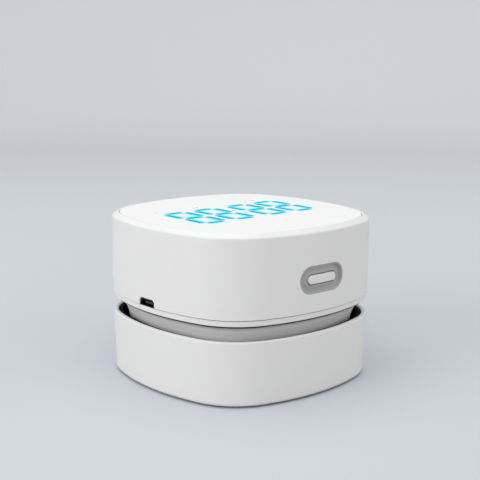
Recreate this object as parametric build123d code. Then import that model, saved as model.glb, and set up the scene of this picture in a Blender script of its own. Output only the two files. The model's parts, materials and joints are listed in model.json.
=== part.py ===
from build123d import *
import os
from math import atan2, cos, degrees, radians, sin, sqrt

# Desktop mini vacuum cleaner with a clock on top.
# A head (clock, motor, fan, filter) plugs into a low dust cup. All sizes are in millimetres.
# +Z is up, the power button is on the -Y side and the charging socket on the -X side.
# The origin is on the resting surface, under the middle of the cup.

# ---------------------------------------------------------------- driving dimensions
# Plan outline: four shallow side arcs joined smoothly by four corner arcs.
half_width = 42.5
side_radius = 78.0
corner_radius = 24.0

# Heights of the visible bands, from the resting surface up.
foot_proud = 0.6
cup_height = 22.3
air_gap = 5.2
band_height = 1.9
wall_height = 27.5
bevel_height = 1.3

# Clearances.
fit_gap = 0.1          # between pieces that are pushed together
slide_gap = 0.3        # around pieces that slide past each other
thread_gap = 0.02      # between a screw and the hole it is driven into
bearing_gap = 0.04     # between the shaft and its bushes
shaft_fit = 0.01       # between the shaft and what is pressed on it
plunger_gap = 0.05     # around the switch's plunger
cell_gap = 0.05        # between the cell and its saddles

# Allowances in the making of the shapes.
cut_over = 1.0         # how far a cutting shape runs past what it cuts
weld = 0.5             # how far a bar runs into the wall it is joined to
blind_floor = 0.6      # plastic left under a blind screw hole

# Cross in a screw's head, as shares of the head's radius and height.
cross_reach = 0.6
cross_half_width = 0.14
cross_depth = 0.5

# Upper shell and its deck under the panel.
shell_wall = 2.0
bevel_inset = 1.9
rim_land = 0.7
edge_round = 0.25
seam_gap_height = 0.28    # shadow gap round the shell's lower edge
seam_gap_depth = 1.2
deck_thickness = 1.4
panel_thickness = 1.6

# Clock: a 7-segment display of four digits, with a colon and three small marks.
digits_margin = 16.4      # from the wall in to the first and last digits
digit_height = 23.4
digit_gap = 4.1
colon_gap = 6.4           # between the second and third digits
segment_width = 2.0
segment_tip_gap = 0.9
colon_radius = 0.8
colon_spread = 3.35
mark_row = 16.5
mark_bar_length = 2.6
mark_bar_width = 0.8
mark_dot_radius = 0.5
mark_dot_offset = 0.1     # from the left edge of the first digit
mark_bar_offsets = (5.1, 3.8)   # from the left edges of the second and fourth digits

# Display board and the box of light wells over it.
light_box_side = 3.9      # beyond the digits
light_box_edge = 1.7      # beyond the row of marks
light_box_height = 4.4
light_well_margin = 0.3
display_board_thickness = 1.4
display_board_edge = 1.8   # beyond the light box
display_post_radius = 2.2
display_post_row = 16.4
post_gap = 0.4            # between a screw post and what it stands beside
display_screw_radius = 1.0
display_screw_length = 3.4
led_length = 1.6
led_width = 0.9
led_height = 0.6

# Base plate (the thin band under the seam) and the four long head screws.
band_inset = 0.5
band_round = 0.3
tongue_wall = 1.2
tongue_height = 1.8
head_screw_inset = 10.7    # from the corner of the outline, along the diagonal
head_screw_radius = 1.25
head_screw_bite = 8.0     # how far it is driven into the upper shell
head_screw_head_radius = 2.3
head_screw_head_height = 1.6
head_boss_radius = 3.0
head_boss_gap = 1.2       # below the display board
boss_rib_width = 1.6

# Neck collar: a flared skirt with exhaust slots, which plugs into the cup.
neck_inset = 6.0
neck_top_inset = 1.26
neck_flare_radius = 10.5
neck_wall = 1.6
neck_length = 16.3
neck_gap_height = 0.7     # shadow gap between the flare and the band
neck_gap_depth = 1.6
neck_boss_radius = 3.2
neck_boss_length = 8.1
neck_boss_seat = 4.5      # plastic left between the screw head and the band
neck_rib_lift = 2.0       # above the boss's lower end
slot_width = 1.8
slot_height = 3.8
slot_lift = 0.8           # above the shroud plate
slot_pitch = 4.5
slot_row_reach = 3.0      # how far a row may run into the corners
seal_lift = 0.3
seal_height = 0.7
seal_depth = 0.6
seal_proud = 0.2

# Dust cup.
cup_foot_inset = 0.95
cup_rim_inset = 0.26
cup_wall = 1.6
cup_floor = 2.2
cup_foot_round = 1.0
cup_rim_round = 0.5
foot_pad_radius = 4.0
foot_pad_thickness = 1.0
foot_pad_inset = 10.7

# Black liner: it walls the dust chamber, floors the moat and seats the neck.
liner_drop = 0.6
liner_wall = 0.75         # at the foot, where it is thinnest
liner_shelf = 0.5         # step under the neck's seat
moat_floor_thickness = 1.2
seat_thickness = 1.2
seat_lap = 0.4            # how far the seat runs past the neck's wall
neck_play = 0.5

# Nozzle plate with the suction chimney, and the brush ring under it.
nozzle_inset = 16.5       # from the wall in to the plate's edge
nozzle_thickness = 1.4
nozzle_opening_edge = 0.4  # from the screw bosses in to the opening
chimney_gap = 1.8         # from the brush ring in to the chimney
chimney_wall = 1.2
chimney_height = 6.2
brush_edge = 1.6          # from the opening in to the brush ring
brush_ring_width = 3.4
brush_ring_thickness = 0.9
tuft_radius = 0.5
tuft_count = 28
tuft_clear = 0.05
nozzle_screw_edge = 3.0   # from the plate's edge in to the screws
nozzle_screw_radius = 0.9
nozzle_screw_length = 4.4
nozzle_boss_radius = 2.6
nozzle_boss_height = 4.5
small_head_radius = 1.9
small_head_height = 0.7

# Motor.
motor_radius = 12.2
motor_can_wall = 1.0
motor_top_gap = 1.6       # from the terminals up to the display board
motor_cap_height = 2.2
motor_boss_radius = 3.4
motor_boss_drop = 1.6
motor_screw_place = 8.0
motor_screw_radius = 1.0
bush_radius = 2.5
shaft_radius = 1.0
magnet_thickness = 1.5
magnet_overhang = 1.0     # past each end of the armature
magnet_arc = 130.0
armature_gap = 0.7        # inside the magnets
armature_floor = 4.0
pole_stem_width = 2.6
pole_head_thickness = 2.5
pole_head_arc = 96.0
coil_half_width = 3.4
coil_overhang = 1.2
commutator_gap = 0.5      # above the windings
commutator_radius = 2.6
commutator_height = 1.4
cap_recess_width = 1.4     # around the rear bush
cap_recess_depth = 0.4
cap_vent_radius = 1.2
terminal_place = 8.0
terminal_thickness = 0.6
terminal_width = 2.2
terminal_height = 2.2
shaft_hub_setback = 0.6    # the shaft ends short of the hub's lower face
shaft_cap_setback = 0.3    # and short of the end cap's outer face

# Fan: impeller, and the shroud plate that parts the suction side from the exhaust side.
impeller_tip_gap = 2.6    # inside the posts around it
impeller_clear = 1.0      # above the shroud plate
blade_height = 7.2
impeller_back_thickness = 1.0
impeller_hub_radius = 3.2
impeller_hub_clear = 1.4   # below the motor's boss
blade_count = 9
blade_thickness = 1.0
blade_root_radius = 6.5
blade_sweep = 55.0
blade_bow = 0.38          # share of the sweep that is turned by mid-blade
shroud_depth = 13.5       # below the band
shroud_thickness = 1.8
shroud_eye_radius = 11.0
guard_bar_width = 1.5
shroud_post_gap = 1.4     # inside the neck's corner bosses
shroud_post_radius = 2.4
shroud_screw_radius = 1.0
shroud_screw_bite = 6.0   # depth of the hole in the post

# Filter.
filter_wall_gap = 2.3     # from the collar around it to the neck
filter_frame_height = 2.4
filter_rim = 4.0
filter_bar_width = 2.0
filter_bar_height = 0.8
filter_collar_wall = 1.4
filter_collar_depth = 2.4
gasket_width = 2.0
gasket_thickness = 0.6

# Main board with the charging socket.
board_motor_gap = 2.4
board_wall_inset = 5.1
board_nose_inset = 2.7
board_half_width = 13.0
board_nose_half_width = 7.0
board_thickness = 1.2
board_stand = 1.0
board_screw_radius = 0.9
board_screw_setback = 2.8
board_screw_pitch = 7.2
board_screw_row = 10.4
board_screw_head_radius = 1.6
board_screw_head_height = 0.8
board_screw_bite = 2.0
board_post_radius = 2.0
port_gap = 0.4            # beside the socket
port_corner = 0.9
socket_width = 7.5
socket_height = 2.5
socket_recess = 0.6
socket_depth = 5.5
socket_skin = 0.35
socket_back = 1.0         # thickness behind the socket's mouth
socket_corner = 0.72
mouth_corner = 0.63
tongue_setback = 0.6      # from the socket's front edge
usb_tongue_width = 4.1
usb_tongue_thickness = 0.7

# What stands on the main board. Setbacks are from the board's outer edge, or its inner edge where said.
chip_socket_gap = 1.5     # from the ribbon's socket to the chip and the coil
charge_chip_setback = 4.9  # from the inner edge
charge_chip = (-5.0, 5.0, 1.6)   # middle Y, width and height
charge_coil_setback = 6.4  # from the inner edge
charge_coil = (3.0, 5.0, 3.0)    # middle Y, width and height
resistor_setback = 3.6
resistor_size = (1.6, 0.8, 0.5)
resistor_count = 4
resistor_pitch = 3.0
capacitor_setback = 6.4
capacitor_row = 9.6
capacitor_radius = 1.8
capacitor_height = 5.0

# Ribbon between the two boards.
ribbon_setback = 7.4
ribbon_width = 10.0
ribbon_thickness = 0.3
ribbon_socket_height = 2.2
ribbon_socket_depth = 3.0
ribbon_socket_side = 1.0  # beyond the ribbon's edge

# Power button, its bezel and its switch.
button_lift = 11.4        # above the seam
button_length = 13.1
button_width = 3.1
button_gap = 0.35
button_round = 0.5
button_flange = 1.3
button_flange_thickness = 1.0
button_stem_length = 4.8
button_travel = 0.8
button_setback = 0.25     # of the button's face behind the wall's face
bezel_setback = 0.05
bezel_length = 20.2
bezel_width = 9.3
bezel_dish_depth = 1.0    # from the wall's face in to the bezel's floor
bezel_dish_land = 0.35
bezel_back = 3.9
bezel_flange = 1.4
button_stem_reach = 0.3   # behind the button's flange
button_board_thickness = 1.2
rail_bezel_gap = 0.7      # from the bezel's flange to the board's end
button_board_half_height = 7.0
switch_size = 6.0
switch_depth = 3.5
plunger_radius = 1.6
plunger_reach = 1.1
plunger_root = 1.0
rail_width = 1.8
rail_slot_depth = 1.6
rail_foot = 1.0           # ledge under the button board

# Rechargeable cell, lying behind the motor.
cell_wall_gap = 5.9       # to the back wall
cell_motor_gap = 8.2
cell_boss_gap = 0.66      # from its end tabs to the corner bosses
cell_lift = 0.8
cradle_end = 7.5          # from the cell's end to the middle of a saddle
cradle_width = 4.0
cradle_drop = 1.9         # below the cell's axis
cradle_side = 0.6         # beyond the cell
tab_thickness = 0.3
tab_height = 7.0
tab_reach = 1.4           # in front of the cell
tab_lap = 3.0             # past the cell's axis

# Insulated leads, and the pads on the main board that they are soldered to.
lead_radius = 0.6
lead_bend = 1.2
cell_pad_edge = 2.0       # from the board's side
cell_pad_pitch = 3.15     # from one lead to the other
motor_pad_setback = 2.0   # from the board's inner edge
motor_pad_rows = (5.0, 8.0)
button_pad_row = -10.0
button_pad_setbacks = (3.4, 1.4)   # from the board's inner edge
button_lead_step = 10.0   # from each pad across to the button board
button_lead_run = 5.4     # straight out of the button board
button_lead_drop = 3.0    # below the button

# ---------------------------------------------------------------- levels worked out
z_cup = foot_proud
z_rim = z_cup + cup_height
z_band = z_rim + air_gap
z_seam = z_band + band_height
z_edge = z_seam + wall_height
z_top = z_edge + bevel_height
z_deck = z_top - panel_thickness
z_under_deck = z_deck - deck_thickness
z_display_board = z_deck - light_box_height - display_board_thickness
z_boss_top = z_display_board - head_boss_gap
z_board = z_seam + board_stand
z_board_top = z_board + board_thickness
z_cup_floor = z_cup + cup_floor
z_nozzle_top = z_cup + nozzle_thickness
z_cap_top = z_display_board - motor_top_gap - terminal_height
z_can_top = z_cap_top - motor_cap_height
z_neck = z_band - neck_length
z_neck_boss = z_band - neck_boss_length
z_head_screw = z_band - neck_boss_seat
z_seal = z_neck + seal_lift
z_shroud = z_band - shroud_depth
z_shroud_top = z_shroud + shroud_thickness
z_slot = z_shroud_top + slot_lift
z_impeller = z_shroud_top + impeller_clear
z_impeller_back = z_impeller + blade_height
z_hub_top = z_seam - motor_boss_drop - impeller_hub_clear
z_filter_top = z_shroud - gasket_thickness
z_filter = z_filter_top - filter_frame_height
z_button = z_seam + button_lift


# ---------------------------------------------------------------- sizes and places worked out
def corner_centre():
    """How far a corner arc's centre lies from both centre planes, so that all arcs meet smoothly."""
    shift = side_radius - half_width
    gap = side_radius - corner_radius
    return (sqrt(2 * gap**2 - shift**2) - shift) / 2


def corner_reach(inset):
    """Distance from the middle to a corner of the outline, along the diagonal."""
    return corner_centre() * sqrt(2) + corner_radius - inset


# The clock fills the panel's width.
digits_width = 2 * (half_width - digits_margin)
digit_width = (digits_width - 2 * digit_gap - colon_gap) / 4
digit_pitch = digit_width + digit_gap
colon_pitch = digit_width + colon_gap
light_box_length = digits_width + 2 * light_box_side
light_box_width = 2 * (mark_row + light_box_edge)
display_board_width = light_box_width + 2 * display_board_edge

# The fan fits inside the shroud's posts, and those inside the neck's corner bosses.
head_screw_length = neck_boss_seat + band_height + head_screw_bite
shroud_post_circle = corner_reach(head_screw_inset) - neck_boss_radius - shroud_post_gap - shroud_post_radius
impeller_radius = shroud_post_circle - shroud_post_radius - impeller_tip_gap
filter_collar_radius = half_width - neck_inset - neck_wall - filter_wall_gap
filter_radius = filter_collar_radius - filter_collar_wall - 2 * fit_gap
slots_per_side = 2 * int((corner_centre() + slot_row_reach) / slot_pitch) + 1

# The nozzle's circles follow each other inwards from the plate's edge.
nozzle_radius = half_width - nozzle_inset
nozzle_screw_circle = nozzle_radius - nozzle_screw_edge
nozzle_opening_radius = nozzle_screw_circle - nozzle_boss_radius - nozzle_opening_edge
brush_radius = nozzle_opening_radius - brush_edge - brush_ring_width / 2
chimney_radius = brush_radius - brush_ring_width / 2 - chimney_gap
inlet_radius = chimney_radius - chimney_wall
liner_inner_inset = cup_foot_inset + cup_wall + fit_gap + liner_wall
seat_lip = neck_inset + neck_wall + seat_lap

# The armature fills the motor, and the cell fills the room behind it, between the corner bosses.
armature_radius = motor_radius - motor_can_wall - magnet_thickness - armature_gap
commutator_bottom = z_can_top - fit_gap - commutator_height
armature_length = commutator_bottom - commutator_gap - coil_overhang - armature_floor - z_seam
cell_radius = (half_width - shell_wall - cell_wall_gap - motor_radius - cell_motor_gap) / 2
corner_boss_face = corner_reach(head_screw_inset) / sqrt(2) - head_boss_radius
cell_length = 2 * (corner_boss_face - cell_boss_gap - tab_thickness)
z_cell = z_seam + cell_lift + cell_radius
y_cell = motor_radius + cell_motor_gap + cell_radius
cradle_place = cell_length / 2 - cradle_end
cradle_height = cell_lift + cell_radius - cradle_drop

# The main board reaches from the motor to the side wall.
x_board_inner = -(motor_radius + board_motor_gap)
x_board_outer = -(half_width - board_wall_inset)
x_board_nose = -(half_width - board_nose_inset)
x_socket_outer = -(half_width - socket_recess)
x_socket_inner = x_socket_outer + socket_depth
x_ribbon = x_board_outer + ribbon_setback
port_width = socket_width + 2 * port_gap
port_height = socket_height + 2 * fit_gap

# The button, its plunger and its switch stand one behind the other.
y_button = -half_width + bezel_back + fit_gap
y_plunger = y_button + button_flange_thickness + button_stem_reach
y_button_board = y_plunger + plunger_reach + switch_depth
button_board_half_length = bezel_length / 2 + bezel_flange + rail_bezel_gap

# Where the leads run, and the pads they end on.
cell_lead_lane = (motor_radius + y_cell - cell_radius) / 2
cell_lead_end = (cell_length + tab_thickness) / 2
cell_pad_row = board_half_width - cell_pad_edge
cell_pad_column = cell_pad_pitch - cell_lead_end
motor_pad_column = x_board_inner - motor_pad_setback
button_lead_turn = y_button_board + button_board_thickness + button_lead_run


# ---------------------------------------------------------------- shapes shared by many pieces
def outline_arcs():
    """The eight arcs of the plan outline: centre, radius, start angle and arc size."""
    k = corner_centre()
    shift = side_radius - half_width
    half_side = degrees(atan2(k, k + shift))
    arcs = []
    for quarter in range(4):
        turn = Rot(0, 0, 90 * quarter)
        side_centre = (turn * Pos(-shift, 0, 0)).position
        round_centre = (turn * Pos(k, k, 0)).position
        arcs.append((side_centre, side_radius, 90 * quarter - half_side, 2 * half_side))
        arcs.append((round_centre, corner_radius, 90 * quarter + half_side, 90 - 2 * half_side))
    return arcs


def outline(inset, z):
    """The plan outline as a face at height z, drawn in from the widest one by an even inset."""
    edges = [CenterArc(centre, radius - inset, start, size) for centre, radius, start, size in outline_arcs()]
    return Pos(0, 0, z) * make_face(edges)


def slab(inset, z_low, z_high):
    return extrude(outline(inset, z_low), z_high - z_low)


def wall_ring(outer_inset, inner_inset, z_low, z_high):
    return slab(outer_inset, z_low, z_high) - slab(inner_inset, z_low, z_high)


def ring(profile):
    """Carry a profile once around the outline. The profile is a face of (-inset, height) in the XZ plane."""
    sectors = []
    for centre, radius, start, size in outline_arcs():
        sector = revolve(Pos(radius, 0, 0) * profile, Axis.Z, size)
        sectors.append(Pos(*centre) * Rot(0, 0, start) * sector)
    return Part() + sectors


def section(*corners):
    """A face from corners of (inset, height, rounding)."""
    points = [(-inset, 0, z) for inset, z, rounding in corners]
    return make_face(FilletPolyline(*points, radius=[rounding for inset, z, rounding in corners], close=True))


def block(x, y, z):
    """A box from its lowest and highest value along each axis."""
    centre = [(low + high) / 2 for low, high in (x, y, z)]
    return Pos(*centre) * Box(x[1] - x[0], y[1] - y[0], z[1] - z[0])


def rod(radius, z_low, z_high, x=0.0, y=0.0):
    return Pos(x, y, (z_low + z_high) / 2) * Cylinder(radius, z_high - z_low)


def tube(outer_radius, inner_radius, z_low, z_high, x=0.0, y=0.0):
    return rod(outer_radius, z_low, z_high, x, y) - rod(inner_radius, z_low, z_high, x, y)


def stadium(length, width, y_low, y_high):
    """A long pill shape on the front wall, centred on the button and running in along +Y."""
    face = Plane(origin=(0, y_low, z_button), x_dir=(1, 0, 0), z_dir=(0, 1, 0))
    return extrude(face * SlotOverall(length, width), y_high - y_low)


def corners_of(place_x, place_y=None):
    """The four points at plus and minus the two distances."""
    place_y = place_x if place_y is None else place_y
    return [(sx * place_x, sy * place_y) for sx in (1, -1) for sy in (1, -1)]


def corner_places(inset):
    """The four points on the diagonals, an inset in from the outline's corners."""
    return corners_of(corner_reach(inset) / sqrt(2))


def head_screw_places():
    return corner_places(head_screw_inset)


def circle_places(circle, count, first=0.0):
    angles = [radians(first + 360 * i / count) for i in range(count)]
    return [(circle * cos(a), circle * sin(a)) for a in angles]


def screw(head_radius, head_height, shank_radius, length, z_shoulder):
    """A cross-head screw driven upwards, its shoulder at z_shoulder."""
    z_head = z_shoulder - head_height
    head = rod(head_radius, z_head, z_shoulder)
    shank = rod(shank_radius, z_shoulder, z_shoulder + length)
    z_cross = (z_head, z_head + head_height * cross_depth)
    reach, half = head_radius * cross_reach, head_radius * cross_half_width
    cross = block((-reach, reach), (-half, half), z_cross) + block((-half, half), (-reach, reach), z_cross)
    return head + shank - cross


def small_screw(shank_radius, length, z_shoulder):
    return screw(small_head_radius, small_head_height, shank_radius, length, z_shoulder)


def copies(piece, places):
    """The same piece at each place, as separate solids of one node."""
    return Compound(children=[Pos(x, y, 0) * piece for x, y in places])


def lead(*points):
    """An insulated wire along straight runs joined by small bends."""
    route = FilletPolyline(*points, radius=lead_bend)
    start = Plane(origin=route @ 0, z_dir=route % 0)
    return sweep(start * Circle(lead_radius), path=route)


# ---------------------------------------------------------------- clock
def segment(start, end, width, tip_gap):
    """One display segment: a bar with pointed ends between two corners of a digit."""
    (x0, y0), (x1, y1) = start, end
    length = sqrt((x1 - x0) ** 2 + (y1 - y0) ** 2)
    ux, uy = (x1 - x0) / length, (y1 - y0) / length
    half = width / 2
    along_across = [
        (tip_gap, 0),
        (tip_gap + half, half),
        (length - tip_gap - half, half),
        (length - tip_gap, 0),
        (length - tip_gap - half, -half),
        (tip_gap + half, -half),
    ]
    points = [(x0 + a * ux - c * uy, y0 + a * uy + c * ux) for a, c in along_across]
    return make_face(Polyline(*points, close=True))


def digit_lefts():
    """Left edge of each digit, the four of them centred on the panel."""
    first = -digits_width / 2
    third = first + digit_pitch + colon_pitch
    return [first, first + digit_pitch, third, third + digit_pitch]


def segment_ends():
    """Both ends of all seven segments of all digits."""
    ends = []
    half = digit_height / 2
    for left in digit_lefts():
        right = left + digit_width
        ends += [((left, y), (right, y)) for y in (half, 0, -half)]
        ends += [((x, y), (x, y - half)) for x in (left, right) for y in (half, 0)]
    return ends


def segment_faces(width=segment_width, tip_gap=segment_tip_gap):
    return [segment(start, end, width, tip_gap) for start, end in segment_ends()]


def colon_faces(grow=0.0):
    return [Pos(0, y) * Circle(colon_radius + grow) for y in (colon_spread, -colon_spread)]


def mark_faces(grow=0.0):
    bar = Rectangle(mark_bar_length + 2 * grow, mark_bar_width + 2 * grow)
    first, second, third, fourth = digit_lefts()
    places = [left + offset for left, offset in zip((second, fourth), mark_bar_offsets)]
    dot = Pos(first + mark_dot_offset, mark_row) * Circle(mark_dot_radius + grow)
    return [Pos(x, mark_row) * bar for x in places] + [dot]


def light_guides(faces, z_low, z_high):
    return [extrude(Pos(0, 0, z_low) * face, z_high - z_low) for face in faces]


def display_panel():
    windows = light_guides(segment_faces() + colon_faces() + mark_faces(), z_deck, z_top)
    return slab(bevel_inset + rim_land + fit_gap, z_deck, z_top) - windows


def light_box():
    z_low = z_deck - light_box_height
    body = block(*span_pair(light_box_length, light_box_width), (z_low, z_deck))
    wells = segment_faces(segment_width + 2 * light_well_margin, segment_tip_gap - light_well_margin)
    wells += colon_faces(light_well_margin) + mark_faces(light_well_margin)
    return body - light_guides(wells, z_low, z_deck)


def span_pair(length, width):
    """X and Y ranges of a centred rectangle."""
    return (-length / 2, length / 2), (-width / 2, width / 2)


def display_post_places():
    return corners_of(light_box_length / 2 + display_post_radius + post_gap, display_post_row)


def display_board():
    length = 2 * (display_post_places()[0][0] + display_post_radius + post_gap)
    z_high = z_display_board + display_board_thickness
    board = block(*span_pair(length, display_board_width), (z_display_board, z_high))
    hole = rod(display_screw_radius + fit_gap, z_display_board, z_high)
    return board - copies(hole, display_post_places())


def display_screws():
    piece = small_screw(display_screw_radius, display_screw_length, z_display_board)
    return copies(piece, display_post_places())


def display_leds():
    """One small lamp in each light well."""
    z_low = z_deck - light_box_height
    places = [((x0 + x1) / 2, (y0 + y1) / 2, x0 == x1) for (x0, y0), (x1, y1) in segment_ends()]
    places += [(0, y, False) for y in (colon_spread, -colon_spread)]
    lamps = []
    for x, y, upright in places:
        size = (led_width, led_length) if upright else (led_length, led_width)
        lamps.append(Pos(x, y, z_low + led_height / 2) * Box(*size, led_height))
    return Compound(children=lamps)


# ---------------------------------------------------------------- head casing
def boss_ribs(z_low, z_high, reach_low, reach_high):
    """A rib from each corner boss out to the corner wall, along the diagonals."""
    rib = block((reach_low, reach_high), (-boss_rib_width / 2, boss_rib_width / 2), (z_low, z_high))
    return [Rot(0, 0, angle) * rib for angle in (45, 135, 225, 315)]


def port_notch():
    """The notch for the charging plug: upper corners cut off, open at the seam."""
    half, top = port_width / 2, z_seam + port_height
    points = [(-half, z_seam), (half, z_seam), (half, top - port_corner), (half - port_corner, top),
              (port_corner - half, top), (-half, top - port_corner)]
    face = make_face(Polyline(*[(-half_width - cut_over, y, z) for y, z in points], close=True))
    return extrude(face, shell_wall + 2 * cut_over, dir=(1, 0, 0))


def upper_shell():
    land = bevel_inset + rim_land
    z_gap = z_seam + seam_gap_height
    walls = ring(section(
        (seam_gap_depth, z_seam, 0), (seam_gap_depth, z_gap, 0), (0, z_gap, seam_gap_height / 2),
        (0, z_edge, edge_round), (bevel_inset, z_top, edge_round), (land, z_top, 0),
        (land, z_under_deck, 0), (shell_wall, z_under_deck, 0), (shell_wall, z_seam, 0),
    ))
    window_size = (light_box_length + 2 * fit_gap, light_box_width + 2 * fit_gap)
    window = block(*span_pair(*window_size), (z_under_deck, z_deck))
    deck = slab((land + shell_wall) / 2, z_under_deck, z_deck) - window

    z_post = z_display_board + display_board_thickness
    post = tube(display_post_radius, display_screw_radius + thread_gap, z_post, z_under_deck)
    boss = rod(head_boss_radius, z_seam, z_boss_top)
    pilot = rod(head_screw_radius + thread_gap, z_seam, z_head_screw + head_screw_length + fit_gap)
    ribs = boss_ribs(z_seam + tongue_height + fit_gap, z_boss_top,
                     corner_reach(head_screw_inset), corner_reach(shell_wall / 2))

    shell = walls + deck + copies(boss, head_screw_places()) + ribs + copies(post, display_post_places())
    shell += button_rails()
    return shell - copies(pilot, head_screw_places()) - port_notch() - bezel_hole()


def bezel_hole():
    y = (-half_width - cut_over, -half_width + shell_wall + 2 * cut_over)
    return stadium(bezel_length + 2 * fit_gap, bezel_width + 2 * fit_gap, *y)


def button_rails():
    """Two upright rails behind the front wall, with slots and a ledge that hold the button board."""
    rails = []
    inner = button_board_half_length - rail_slot_depth
    outer = button_board_half_length + fit_gap + rail_width
    board = (y_button_board - fit_gap, y_button_board + button_board_thickness + fit_gap)
    z_ledge = z_button - button_board_half_height - fit_gap
    z = (z_ledge - rail_foot, z_button + button_board_half_height)
    for side in (1, -1):
        x = sorted((side * (outer - rail_width), side * outer))
        slot_x = sorted((side * inner, side * outer))
        rail = block(x, (-half_width, board[1] + rail_width), z) + block(slot_x, board, (z[0], z_ledge))
        for y in ((board[0] - rail_width, board[0]), (board[1], board[1] + rail_width)):
            rail += block(slot_x, y, z)
        rails.append(rail & slab(shell_wall / 2, *z))
    return rails


def base_plate():
    plate = slab(band_inset, z_band, z_seam)
    plate = fillet(plate.faces().sort_by(Axis.Z)[0].outer_wire().edges(), band_round)
    tongue_inset = shell_wall + fit_gap
    tongue = wall_ring(tongue_inset, tongue_inset + tongue_wall, z_seam, z_seam + tongue_height)
    half_gap = board_nose_half_width + slide_gap
    tongue -= block((-half_width, x_board_outer), (-half_gap, half_gap), (z_seam, z_seam + tongue_height))
    post = rod(shroud_post_radius, z_shroud_top, z_band)
    post_places = circle_places(shroud_post_circle, 4, 45)
    stand = rod(board_post_radius, z_seam, z_board)

    plate += tongue + copies(post, post_places) + copies(stand, board_screw_places())
    plate -= rod(motor_boss_radius + fit_gap, z_band, z_seam)
    plate -= copies(rod(head_screw_radius + fit_gap, z_band, z_seam), head_screw_places())
    motor_hole = rod(motor_screw_radius + fit_gap, z_band, z_seam)
    motor_hole += rod(small_head_radius + fit_gap, z_band, z_band + small_head_depth())
    plate -= copies(motor_hole, motor_screw_places())
    post_hole = rod(shroud_screw_radius + thread_gap, z_shroud_top, z_shroud_top + shroud_screw_bite)
    board_hole = rod(board_screw_radius + thread_gap, z_band + blind_floor, z_board)
    return plate - copies(post_hole, post_places) - copies(board_hole, board_screw_places())


def small_head_depth():
    """Depth of the sink for a small screw's head."""
    return small_head_height + fit_gap


def motor_screw_places():
    return [(motor_screw_place, 0), (-motor_screw_place, 0)]


def board_screw_places():
    first = x_board_outer + board_screw_setback
    return [(x, y) for x in (first, first + board_screw_pitch) for y in (board_screw_row, -board_screw_row)]


def head_screws():
    head = (head_screw_head_radius, head_screw_head_height)
    return copies(screw(*head, head_screw_radius, head_screw_length, z_head_screw), head_screw_places())


def neck_flare_rise():
    """Height of the flare: the arc turns out by neck_inset - neck_top_inset over it."""
    return sqrt(neck_flare_radius**2 - (neck_flare_radius - neck_inset + neck_top_inset) ** 2)


def neck_collar():
    z_flare = z_band - neck_flare_rise()
    inner = neck_inset + neck_wall
    inner_radius = neck_flare_radius + neck_wall
    inner_top = neck_inset - neck_flare_radius + sqrt(inner_radius**2 - neck_flare_rise() ** 2)
    # The groove for the seal is cut into the straight stretch below the flare.
    groove_top = z_seal + seal_height
    groove = neck_inset + seal_depth
    skirt = make_face([
        Polyline((-neck_inset, 0, z_flare), (-neck_inset, 0, groove_top), (-groove, 0, groove_top),
                 (-groove, 0, z_seal), (-neck_inset, 0, z_seal),
                 (-neck_inset, 0, z_neck), (-inner, 0, z_neck), (-inner, 0, z_flare)),
        flare_arc(inner, inner_top, inner_radius, z_flare),
        Line((-inner_top, 0, z_band), (-neck_top_inset, 0, z_band)),
        flare_arc(neck_inset, neck_top_inset, neck_flare_radius, z_flare),
    ])
    boss = rod(neck_boss_radius, z_neck_boss, z_band)
    places = head_screw_places()
    collar = ring(skirt) + copies(boss, places)
    collar += boss_ribs(z_neck_boss + neck_rib_lift, z_band,
                        corner_reach(head_screw_inset), corner_reach(neck_inset))
    collar -= copies(rod(head_screw_radius + fit_gap, z_neck_boss, z_band), places)
    collar -= copies(rod(head_screw_head_radius + fit_gap, z_neck_boss, z_head_screw), places)
    shadow_gap = wall_ring(0, neck_top_inset + neck_gap_depth, z_band - neck_gap_height, z_band)
    return collar - shadow_gap - exhaust_slots()


def flare_arc(start_inset, end_inset, radius, z_flare):
    """The flare from upright at z_flare to the band, about a centre outside the neck."""
    centre_inset = neck_inset - neck_flare_radius
    half_way = atan2(neck_flare_rise(), end_inset - centre_inset) / 2
    middle = (-centre_inset - radius * cos(half_way), 0, z_flare + radius * sin(half_way))
    return ThreePointArc((-start_inset, 0, z_flare), middle, (-end_inset, 0, z_band))


def exhaust_slots():
    y_inner = -half_width + neck_inset + neck_wall + 4 * cut_over
    slot = block((-slot_width / 2, slot_width / 2), (-half_width, y_inner), (z_slot, z_slot + slot_height))
    first = -slot_pitch * (slots_per_side - 1) / 2
    row = [Pos(first + slot_pitch * i, 0, 0) * slot for i in range(slots_per_side)]
    return [Rot(0, 0, 90 * side) * one for side in range(4) for one in row]


def neck_seal():
    """A soft ring in the neck's groove, standing a little proud."""
    outer = neck_inset - seal_proud
    return wall_ring(outer, neck_inset + seal_depth, z_seal, z_seal + seal_height)


# ---------------------------------------------------------------- button and switch
def button_bezel():
    """The grey ring around the button: its floor follows the wall's curve and lies a little behind it.
    Its edge is flush with the wall, and a flange holds it from behind."""
    z = (z_button - bezel_width, z_button + bezel_width)
    front, floor = slab(bezel_setback, *z), slab(bezel_dish_depth, *z)
    behind = slab(shell_wall + bezel_setback, *z)
    plug = stadium(bezel_length, bezel_width, -half_width, -half_width + bezel_back) & front
    flange_size = (bezel_length + 2 * bezel_flange, bezel_width + 2 * bezel_flange)
    flange = stadium(*flange_size, -half_width, -half_width + bezel_back) & behind
    hole = (button_length + 2 * button_gap, button_width + 2 * button_gap)
    wide = (bezel_length - 2 * bezel_dish_land, bezel_width - 2 * bezel_dish_land)
    dish = stadium(*wide, -half_width - cut_over, -half_width + bezel_back) - floor
    return plug + flange - dish - stadium(*hole, -half_width, -half_width + bezel_back)


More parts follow.
